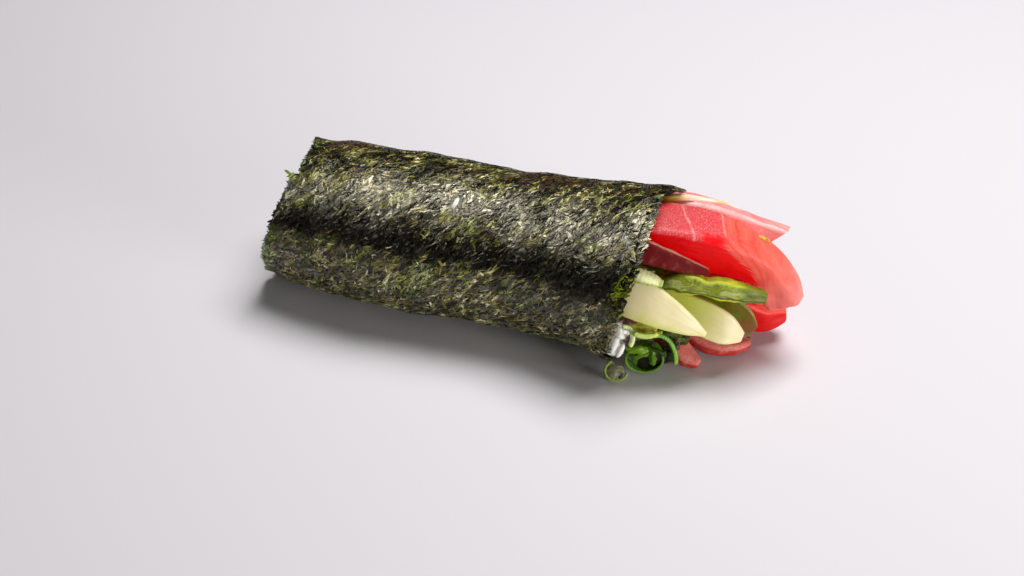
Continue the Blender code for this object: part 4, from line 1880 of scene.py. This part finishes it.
FILLINGS = (
    Filling(
        "tuna_slice_front",
        (-0.2, 9.2, 14.4, 10.6, 0.0),
        (
            Cut(110.0, -0.4, 37.6, 15.6, 10.8, 1.0),
            Cut(117.0, 1.0, 37.2, 15.2, 11.4, 3.0),
            Cut(124.0, 3.6, 35.2, 14.2, 12.0, 6.0),
            Cut(131.0, 6.9, 31.6, 13.6, 11.8, 8.0),
            Cut(137.0, 10.2, 26.0, 12.0, 10.8, 8.0),
            Cut(141.4, 11.4, 20.4, 9.4, 10.4, 6.0),
            Cut(144.0, 11.8, 15.6, 6.4, 9.0, 4.0),
        ),
        Slot.TUNA,
        FLESH,
        form=SweepForm(end_round=0.7, slant=(0.12, 0.05), wobble=0.25, wobble_mm=5.0, seed=1.0),
    ),
    Filling(
        "tuna_slice_back",
        (11.6, 5.0, 7.0, 9.0, 8.0),
        (
            Cut(112.0, 13.2, 35.8, 7.4, 9.6, -4.0),
            Cut(120.0, 15.3, 34.6, 7.2, 9.6, -14.0),
            Cut(128.0, 18.0, 32.4, 6.6, 8.4, -18.0),
            Cut(134.0, 19.2, 31.4, 5.2, 6.6, -16.0),
            Cut(138.0, 19.6, 31.0, 4.6, 5.4, -14.0),
        ),
        Slot.TUNA,
        FLESH_CORAL,
        form=SweepForm(
            end_round=0.3, slant=(0.0, 0.95), slant_reach=9.0, wobble=0.2, wobble_mm=5.0, seed=2.0
        ),
    ),
    Filling(
        "tuna_slice_low",
        (9.4, -5.6, 9.6, 9.6, 12.0),
        (
            Cut(112.0, 9.6, 20.4, 10.0, 9.6, 10.0),
            Cut(120.0, 11.0, 16.4, 10.6, 9.6, 6.0),
            Cut(128.0, 13.4, 11.0, 10.6, 9.8, 4.0),
            Cut(136.0, 16.8, 7.4, 10.0, 8.0, 2.0),
            Cut(142.0, 19.2, 7.8, 5.0, 4.2, 0.0),
        ),
        Slot.TUNA,
        FLESH_LOW,
        form=SweepForm(wobble=0.2, wobble_mm=5.0, seed=3.0),
    ),
    Filling(
        "tuna_slice_dark",
        (-10.8, 9.6, 3.2, 5.8, -32.0),
        (
            Cut(109.0, -11.6, 38.4, 3.2, 6.2, -28.0),
            Cut(116.0, -10.0, 36.4, 3.0, 5.4, -22.0),
            Cut(122.0, -7.4, 33.8, 2.4, 3.8, -18.0),
            Cut(127.0, -5.0, 31.8, 1.2, 1.6, -14.0),
        ),
        Slot.TUNA_DARK,
        FLESH_DARK,
        form=SweepForm(rounding=0.3, seed=4.0),
    ),
    Filling(
        "tuna_end_left",
        (-3.9, -13.3, 6.2, 3.8, 8.0),
        (
            Cut(110.0, -4.0, 11.6, 6.4, 4.2, 8.0),
            Cut(116.5, -4.1, 6.8, 6.2, 4.4, 4.0),
            Cut(122.0, -5.0, 3.2, 6.0, 4.4, 0.0),
            Cut(126.0, -5.6, 2.0, 2.6, 2.4, 0.0),
        ),
        Slot.TUNA_DARK,
        FLESH_BROWN,
        form=SweepForm(rounding=0.35, seed=5.0),
    ),
    Filling(
        "tuna_end_right",
        (3.7, -13.5, 6.6, 3.8, -6.0),
        (
            Cut(110.0, 3.2, 11.6, 6.6, 4.2, -6.0),
            Cut(118.0, 3.3, 7.2, 6.6, 4.6, -2.0),
            Cut(126.0, 2.9, 3.7, 7.2, 4.6, 0.0),
            Cut(132.0, 5.6, 2.6, 5.6, 3.8, 0.0),
            Cut(135.4, 8.8, 2.2, 2.4, 2.2, 0.0),
        ),
        Slot.TUNA_DARK,
        FLESH_BROWN,
        form=SweepForm(rounding=0.35, seed=6.0),
    ),
    Filling(
        "cucumber_stick_front",
        (-12.7, -2.3, 5.0, 10.0, -18.0),
        (
            Cut(108.0, -14.9, 26.2, 5.2, 11.0, -20.0),
            Cut(113.5, -14.6, 24.6, 5.2, 10.8, -24.0),
            Cut(119.0, -12.9, 21.3, 4.8, 8.6, -26.0),
            Cut(124.0, -11.2, 18.1, 3.8, 5.4, -28.0),
            Cut(128.4, -9.7, 15.3, 2.0, 1.2, -30.0),
        ),
        Slot.CUCUMBER,
        CUCUMBER_NEAR,
        form=SweepForm(rounding=0.14, end_round=0.2, wobble=0.05, seed=7.0),
    ),
    Filling(
        "cucumber_stick_rear",
        (-5.0, -6.0, 6.8, 7.6, -24.0),
        (
            Cut(110.0, -5.8, 20.6, 6.6, 8.8, -26.0),
            Cut(119.0, -5.4, 18.8, 6.0, 9.2, -28.0),
            Cut(127.0, -4.2, 16.0, 5.4, 9.4, -30.0),
            Cut(132.0, -2.8, 13.2, 4.8, 8.0, -32.0),
            Cut(136.0, -1.4, 11.0, 2.4, 2.8, -34.0),
        ),
        Slot.CUCUMBER,
        CUCUMBER_FAR,
        form=SweepForm(rounding=0.14, end_round=0.3, wobble=0.05, seed=8.0),
    ),
    Filling(
        "cucumber_peel_slice",
        (1.4, -5.8, 2.2, 9.0, -6.0),
        (
            Cut(110.0, 1.4, 20.8, 2.2, 9.2, -10.0),
            Cut(120.0, 2.0, 19.2, 2.2, 9.4, -14.0),
            Cut(129.0, 2.8, 15.8, 2.2, 9.0, -18.0),
            Cut(134.4, 4.0, 12.4, 2.0, 7.4, -20.0),
            Cut(137.4, 4.8, 9.6, 1.2, 3.0, -22.0),
        ),
        Slot.CUCUMBER_PEEL,
        PeelFinish(),
        form=SweepForm(rounding=0.3, end_round=0.4, wobble=0.08, seed=9.0),
    ),
    Filling(
        "avocado_slice",
        (-6.0, 0.7, 5.2, 3.8, -4.0),
        (
            Cut(111.0, -7.0, 27.0, 4.4, 3.0, -6.0),
            Cut(115.6, -7.8, 27.4, 4.6, 3.4, -6.0),
            Cut(118.8, -8.2, 28.9, 5.0, 5.4, -8.0),
            Cut(123.5, -7.2, 28.7, 4.8, 5.6, -8.0),
            Cut(126.6, -6.2, 27.8, 4.2, 4.0, -8.0),
            Cut(129.6, -4.8, 27.3, 4.8, 5.3, -8.0),
            Cut(135.5, -1.5, 25.3, 4.4, 4.6, -8.0),
            Cut(140.6, 2.3, 23.3, 3.6, 3.4, -8.0),
        ),
        Slot.AVOCADO,
        AvocadoFinish(),
        form=SweepForm(rounding=0.25, end_round=0.6, wobble=0.3, wobble_mm=2.4, seed=10.0),
    ),
    Filling(
        "scallion_strip",
        (-12.0, 5.0, 4.0, 1.5, -14.0),
        (
            Cut(110.0, -14.3, 32.4, 4.2, 1.4, 22.0),
            Cut(114.0, -13.6, 31.4, 4.0, 1.3, 20.0),
            Cut(117.2, -12.8, 30.3, 2.2, 0.8, 16.0),
        ),
        Slot.SCALLION_PALE,
        ScallionFinish("scallion_stalk", tone(146, 172, 72), tone(226, 224, 164), 1.1),
        form=SweepForm(rounding=0.45, end_round=0.3, wobble=0.35, wobble_mm=1.6, seed=11.0),
    ),
    Filling(
        "radish_strip",
        (10.6, 12.0, 4.2, 1.8, -30.0),
        (
            Cut(112.0, 11.8, 41.4, 4.2, 1.8, -26.0),
            Cut(117.5, 15.8, 39.8, 3.8, 1.4, -24.0),
            Cut(122.0, 19.2, 37.7, 3.2, 1.1, -24.0),
            Cut(125.8, 21.2, 35.6, 2.4, 0.9, -24.0),
            Cut(128.4, 22.4, 33.9, 1.2, 0.6, -24.0),
        ),
        Slot.RADISH,
        RadishFinish(),
        form=SweepForm(rounding=0.3, end_round=0.3, wobble=0.15, wobble_mm=2.5, seed=12.0),
    ),
)


@dataclass
class FillingBundle:
    """The strips that run through the roll and fan out of its open end.

    Attributes:
        left: Place of the first section, of which recess is trimmed off again.
        end: Place of the last section inside the roll.
        rind: What sheet and rice take of the roll's radius.
        lift: How far the bundle lies above the roll's middle.
        spacing: Mesh step where a strip shows, and inside_spacing where it doesn't.
        end_gap: Length at each end that end_steps divide more finely.
    """

    shop: Workshop
    roll: RollForm = field(default_factory=RollForm)
    fillings: tuple[Filling, ...] = FILLINGS
    left: float = 7.0
    recess: float = 2.4
    end: float = 104.0
    steps: int = 5
    rind: float = 6.6
    lift: float = 4.0
    spacing: float = 0.8
    inside_spacing: float = 3.0
    end_gap: float = 1.2
    end_steps: tuple[float, ...] = (0.0, 0.08, 0.25, 0.5, 0.8)

    def bundle_cut(self, filling: Filling, x: float) -> Cut:
        """The strip's section inside the roll, where the bundle narrows with the sheet."""
        across, up, width, height, roll = filling.bundle
        y, z, radius = (float(value[0]) for value in self.roll.at(np.array([x])))
        mouth = float(self.roll.radius(np.array([self.roll.mouth]))[0])
        scale = (radius - self.rind) / (mouth - self.rind)
        centre = z + self.lift * self.roll.squash
        return Cut(
            x, y + across * scale, centre + up * scale, width * scale, height * scale, roll
        )

    def _sweep(self, filling: Filling) -> Sweep:
        """The strip's path, turned into a sweep."""
        inside = [
            self.bundle_cut(filling, self.left + (self.end - self.left) * step / self.steps)
            for step in range(self.steps + 1)
        ]
        cuts = [*inside, *filling.outside]
        spots = np.array([(cut.x, cut.y, cut.z) for cut in cuts])
        lengths = np.linalg.norm(np.diff(spots, axis=0), axis=1)
        travel = np.concatenate([[0.0], np.cumsum(lengths)])
        rows = [(start, *astuple(cut)) for start, cut in zip(travel, cuts)]
        mouth = travel[self.steps]
        hidden = np.arange(self.end_gap, mouth - 6.0, self.inside_spacing)
        hidden = hidden[hidden > self.recess + self.end_gap]
        shown = np.arange(mouth - 5.0, travel[-1] - self.end_gap, self.spacing)
        near = np.array(self.end_steps)
        at = np.concatenate([self.recess + near, hidden, shown, travel[-1] - near[::-1]])
        found = interpolated(rows, at).T
        path = found[:, :3]
        ahead = units(np.gradient(path, axis=0))
        side = units(np.cross(np.array([0.0, 0.0, 1.0]), ahead))
        up = np.cross(ahead, side)
        turn = np.radians(found[:, 5])[:, None]
        return Sweep(
            path=path,
            across=side * np.cos(turn) + up * np.sin(turn),
            upward=up * np.cos(turn) - side * np.sin(turn),
            size=found[:, 3:5],
            travel=at + float(spots[0, 0]),
            form=filling.form,
        )

    def build(self) -> None:
        """Makes every strip."""
        materials: dict = {}
        for filling in self.fillings:
            key = id(filling.finish)
            if key not in materials:
                materials[key] = filling.finish.material()
            mesh = to_mesh(self._sweep(filling).shape(), filling.name)
            self.shop.finish(
                filling.name + "_flesh", mesh, materials[key], filling.slot, [filling.name]
            )


# ------------ the scallion slices


@dataclass(frozen=True)
class Slice:
    """A scallion slice: a band round part of an ellipse that faces along its axis."""

    name: str
    centre: tuple[float, float, float]
    facing: tuple[float, float, float]
    radii: tuple[float, float]
    arc: tuple[float, float]
    wall: float
    length: float
    slot: Slot
    finish: ScallionFinish


OPEN_SIDE = (0.33, -0.75, 0.57)
SLICES = (
    Slice(
        name="scallion_ring_large",
        centre=(113.2, -13.5, 4.9),
        facing=(0.40, -0.92, 0.0),
        radii=(5.3, 4.4),
        arc=(0.0, 360.0),
        wall=0.7,
        length=3.6,
        slot=Slot.SCALLION,
        finish=ScallionFinish("scallion_deep", tone(34, 74, 12), tone(104, 146, 40)),
    ),
    Slice(
        name="scallion_curl",
        centre=(117.1, -13.2, 6.2),
        facing=(0.52, -0.70, 0.48),
        radii=(5.4, 7.0),
        arc=(-20.0, 100.0),
        wall=1.2,
        length=2.2,
        slot=Slot.SCALLION,
        finish=ScallionFinish("scallion_fresh", tone(88, 146, 34), tone(138, 186, 70)),
    ),
    Slice(
        name="scallion_ring_pale",
        centre=(109.7, -19.6, 15.5),
        facing=(0.45, -0.75, 0.48),
        radii=(2.8, 3.4),
        arc=(-60.0, 100.0),
        wall=1.2,
        length=2.0,
        slot=Slot.SCALLION_PALE,
        finish=ScallionFinish("scallion_cream", tone(206, 222, 140), tone(228, 234, 182)),
    ),
    Slice(
        name="scallion_ring_side",
        centre=(113.9, -15.5, 22.9),
        facing=OPEN_SIDE,
        radii=(8.0, 7.6),
        arc=(-118.0, -66.0),
        wall=1.4,
        length=2.4,
        slot=Slot.SCALLION_PALE,
        finish=ScallionFinish("scallion_pale", tone(176, 202, 84), tone(206, 222, 120)),
    ),
    Slice(
        name="scallion_ring_low",
        centre=(107.4, -19.4, 3.8),
        facing=OPEN_SIDE,
        radii=(3.3, 3.0),
        arc=(110.0, 350.0),
        wall=0.7,
        length=2.2,
        slot=Slot.SCALLION,
        finish=ScallionFinish("scallion_olive", tone(120, 136, 72), tone(150, 168, 74), clear=0.2),
    ),
)


@dataclass
class ScallionSlices:
    """The scallion slices that have fallen out at the lower front."""

    shop: Workshop
    slices: tuple[Slice, ...] = SLICES
    step_degrees: float = 4.0

    def _sweep(self, piece: Slice) -> Sweep:
        """The slice's wall, swept round its ellipse."""
        facing = units(np.array(piece.facing))
        right = units(np.cross(np.array([0.0, 0.0, 1.0]), facing))
        up = np.cross(facing, right)
        start, end = piece.arc
        whole = end - start >= 360.0
        steps = max(12, round((end - start) / self.step_degrees))
        turn = np.radians(np.linspace(start, end, steps + 1))
        radial = (
            np.cos(turn)[:, None] * right * piece.radii[0]
            + np.sin(turn)[:, None] * up * piece.radii[1]
        )
        outward = units(radial)
        path = np.array(piece.centre) + radial - outward * piece.wall / 2.0
        path = path - facing * piece.length / 2.0
        gaps = np.linalg.norm(np.diff(path, axis=0), axis=1)
        travel = np.concatenate([[0.0], np.cumsum(gaps)])
        return Sweep(
            path=path,
            across=outward,
            upward=np.tile(facing, (len(path), 1)),
            size=np.tile([piece.wall, piece.length], (len(path), 1)),
            travel=travel,
            form=SweepForm(0.35, end_round=0.3, wobble_mm=2.0, seed=sum(piece.centre)),
            closed=whole,
            outline=Outline(3, 4),
        )

    def build(self) -> None:
        """Makes every slice."""
        for piece in self.slices:
            mesh = to_mesh(self._sweep(piece).shape(), piece.name)
            self.shop.finish(
                piece.name + "_wall", mesh, piece.finish.material(), piece.slot, [piece.name]
            )


@dataclass(frozen=True)
class Scrap:
    """A small loose bit, or a near-black patch of painted shade: its middle, length, width,
    thickness, bend, two directions and colour.
    """

    centre: tuple[float, float, float]
    size: tuple[float, float, float]
    colour: Colour
    along: tuple[float, float, float] = (0.90, 0.40, -0.10)
    facing: tuple[float, float, float] = OPEN_SIDE
    bend: float = 0.3


SCRAPS = (
    Scrap((113.2, -15.4, 16.8), (7.6, 2.8, 0.3), tone(188, 178, 60)),
    Scrap((115.9, -14.6, 15.8), (4.6, 1.6, 0.3), tone(151, 158, 40)),
    Scrap((116.6, -7.9, 11.8), (6.6, 2.4, 0.3), tone(61, 88, 14), (0.90, 0.40, -0.35)),
    Scrap((117.6, -7.7, 10.2), (5.0, 2.2, 0.3), tone(35, 58, 8), (0.80, 0.35, 0.40)),
    Scrap((121.4, -10.6, 13.2), (5.4, 2.2, 0.3), tone(66, 78, 14), (0.80, 0.35, -0.50)),
    Scrap((122.9, -9.6, 12.0), (4.4, 2.2, 0.4), tone(78, 74, 22), (0.50, 0.20, 0.80)),
    # Painted shade: two near-black patches in the shadow under the fillings.
    Scrap((117.7, -8.6, 4.6), (5.6, 3.6, 0.8), tone(14, 24, 4), (0.20, 0.10, -0.90)),
    Scrap((119.3, -7.3, 7.2), (5.0, 3.8, 0.6), tone(16, 24, 4), (0.20, 0.10, -0.90)),
    Scrap((106.9, -19.1, 3.4), (4.8, 4.0, 0.3), tone(118, 114, 84)),
    # Painted shade: a near-black disc in the hollow of the large scallion ring.
    Scrap((114.2, -11.9, 4.9), (9.4, 7.8, 1.4), tone(10, 16, 4), facing=(0.40, -0.92, 0.0)),
    Scrap((111.5, -14.9, 8.9), (6.4, 2.4, 0.3), tone(108, 146, 22), bend=0.9),
    Scrap((112.2, -14.8, 7.2), (6.0, 1.8, 0.3), tone(73, 112, 14), (0.90, 0.40, 0.20), bend=0.9),
    Scrap((110.9, -15.0, 6.4), (5.4, 1.8, 0.3), tone(56, 92, 12), (0.20, 0.0, -1.0), bend=0.9),
    Scrap((115.4, -13.4, 6.4), (6.0, 2.4, 0.3), tone(77, 122, 18), (0.15, 0.0, -1.0), bend=1.1),
    Scrap((116.9, -12.9, 8.6), (5.6, 1.6, 0.3), tone(42, 66, 10), (0.80, 0.30, -0.60), bend=0.9),
    Scrap((111.0, -12.6, 33.2), (3.0, 1.0, 0.3), tone(89, 98, 24)),
    Scrap((113.2, -11.4, 32.3), (2.4, 0.7, 0.3), tone(129, 130, 44)),
    Scrap((136.2, 12.6, 34.1), (3.4, 0.9, 0.5), tone(204, 192, 60), (0.75, 0.30, -0.45)),
    Scrap((136.6, 4.0, 7.4), (1.5, 0.9, 0.6), tone(176, 122, 52)),
)


@dataclass
class HerbScraps:
    """Leaf scraps and crumbs round the scallion slices and on the fillings, and near-black patches of
    painted shade among them.
    """

    shop: Workshop
    scraps: tuple[Scrap, ...] = SCRAPS
    gloss: float = 0.45

    def build(self) -> None:
        """Makes them as one piece."""
        points, faces = Ball(20, 16).arrays()
        spots, tints = [], []
        for number, scrap in enumerate(self.scraps):
            along = units(np.array(scrap.along))
            side = units(np.cross(np.array(scrap.facing), along))
            facing = np.cross(along, side)
            length, width, thickness = scrap.size
            s, w = points[:, 2], points[:, 0]
            uneven = 1.0 + 0.45 * value_noise(s * 3.5, np.sign(w), 50.0 + number)
            crumple = 0.35 * value_noise(s * 2.2, w * 1.6, 80.0 + number)
            ribs = 0.5 + 0.5 * np.sin(w * 9.0 + 2.0 * value_noise(s * 1.5, w, 90.0 + number))
            bent = scrap.bend * (s**2 + w**2 * 0.8 - 0.4) - crumple
            spots.append(
                np.array(scrap.centre)
                + np.outer(s * length / 2.0, along)
                + np.outer(w * uneven * width / 2.0, side)
                + np.outer(points[:, 1] * thickness / 2.0 - bent, facing)
            )
            edge = smooth_step((np.hypot(s, w) - 0.8) / 0.2)
            shades = np.outer(0.65 + 0.5 * ribs + 0.8 * edge, scrap.colour)
            tints.append(np.column_stack([shades, np.full(len(s), self.gloss)]))
        mesh = joined("herb_scraps", np.array(spots), faces, np.array(tints))
        material = StrandFinish("herb_leaf", 1.4).material()
        self.shop.finish("herb_scraps", mesh, material, Slot.SCALLION)


# ------------ the studio


def aimed(name: str, data: bpy.types.ID, spot: Sequence[float], way: Vector) -> bpy.types.Object:
    """A lamp or camera at this spot in millimetres, looking this way."""
    found = placed(name, data)
    found.location = Vector(spot) * MM
    found.rotation_mode = "QUATERNION"
    found.rotation_quaternion = way.to_track_quat("-Z", "Y")
    return found


@dataclass(frozen=True)
class Lamp:
    """A soft rectangular lamp that points at a spot."""

    name: str
    spot: tuple[float, float, float]
    aim: tuple[float, float, float]
    size: tuple[float, float]
    watts: float
    sheen_only: bool = False

    def build(self) -> None:
        """Makes the lamp."""
        light = bpy.data.lights.new(self.name, "AREA")
        light.shape = "RECTANGLE"
        light.size, light.size_y = (side * MM for side in self.size)
        light.energy = self.watts
        lamp = aimed(self.name, light, self.spot, Vector(self.aim) - Vector(self.spot))
        lamp.visible_diffuse = not self.sheen_only


@dataclass
class Studio:
    """A plain pale floor, soft lamps and the camera, in the shared frame's millimetres."""

    floor_radius: float = 280.0
    floor_middle: tuple[float, float] = (-30.0, 95.0)
    floor_drop: float = 0.05
    camera_spot: tuple[float, float, float] = (200.07, -474.95, 365.86)
    camera_aim: tuple[float, float, float] = (-0.3256, 0.7553, -0.5687)
    lens: float = 80.0
    surroundings: Colour = (0.03, 0.03, 0.03)
    lamps: tuple[Lamp, ...] = (
        Lamp("sheen", (-340.0, -100.0, 640.0), (-470.0, 50.0, 0.0), (900.0, 280.0), 15.5, True),
        Lamp("key", (110.0, 190.0, 690.0), (0.0, 0.0, 0.0), (420.0, 400.0), 5.4),
        Lamp("fill", (760.0, -210.0, 105.0), (40.0, 0.0, 10.0), (400.0, 180.0), 5.0),
    )

    def build(self) -> None:
        """Makes floor, lamps, surroundings and camera."""
        bm = bmesh.new()
        bmesh.ops.create_circle(bm, cap_ends=True, segments=96, radius=self.floor_radius * MM)
        middle = Vector((*self.floor_middle, -self.floor_drop)) * MM
        bmesh.ops.translate(bm, verts=bm.verts[:], vec=middle)
        mesh = bpy.data.meshes.new("floor")
        bm.to_mesh(mesh)
        bm.free()
        mesh.materials.append(FloorFinish().material())
        floor = placed("floor", mesh)
        floor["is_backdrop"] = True
        for lamp in self.lamps:
            lamp.build()
        world = bpy.data.worlds.new("surroundings")
        world.use_nodes = True
        light = world.node_tree.nodes["Background"].inputs
        light["Color"].default_value = (*self.surroundings, 1.0)
        light["Strength"].default_value = 1.0
        bpy.context.scene.world = world
        data = bpy.data.cameras.new("camera")
        data.lens = self.lens
        data.sensor_width = 36.0
        data.clip_start, data.clip_end = 0.01, 20.0
        camera = aimed("camera", data, self.camera_spot, Vector(self.camera_aim))
        bpy.context.scene.camera = camera


def main() -> None:
    """Builds every assembly round the frame and keeps the two boxes."""
    logging.basicConfig(level=logging.INFO, format="%(name)s %(message)s", stream=sys.stdout)
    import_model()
    low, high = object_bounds()
    shop = Workshop(low, high)
    for assembly in (NoriWrap, RiceBed, FillingBundle, ScallionSlices, HerbScraps):
        assembly(shop).build()
    Studio().build()
    bpy.context.scene.view_settings.view_transform = "Standard"
    LOG.info("%d pieces", len(shop.made))


if __name__ == "__main__":
    main()
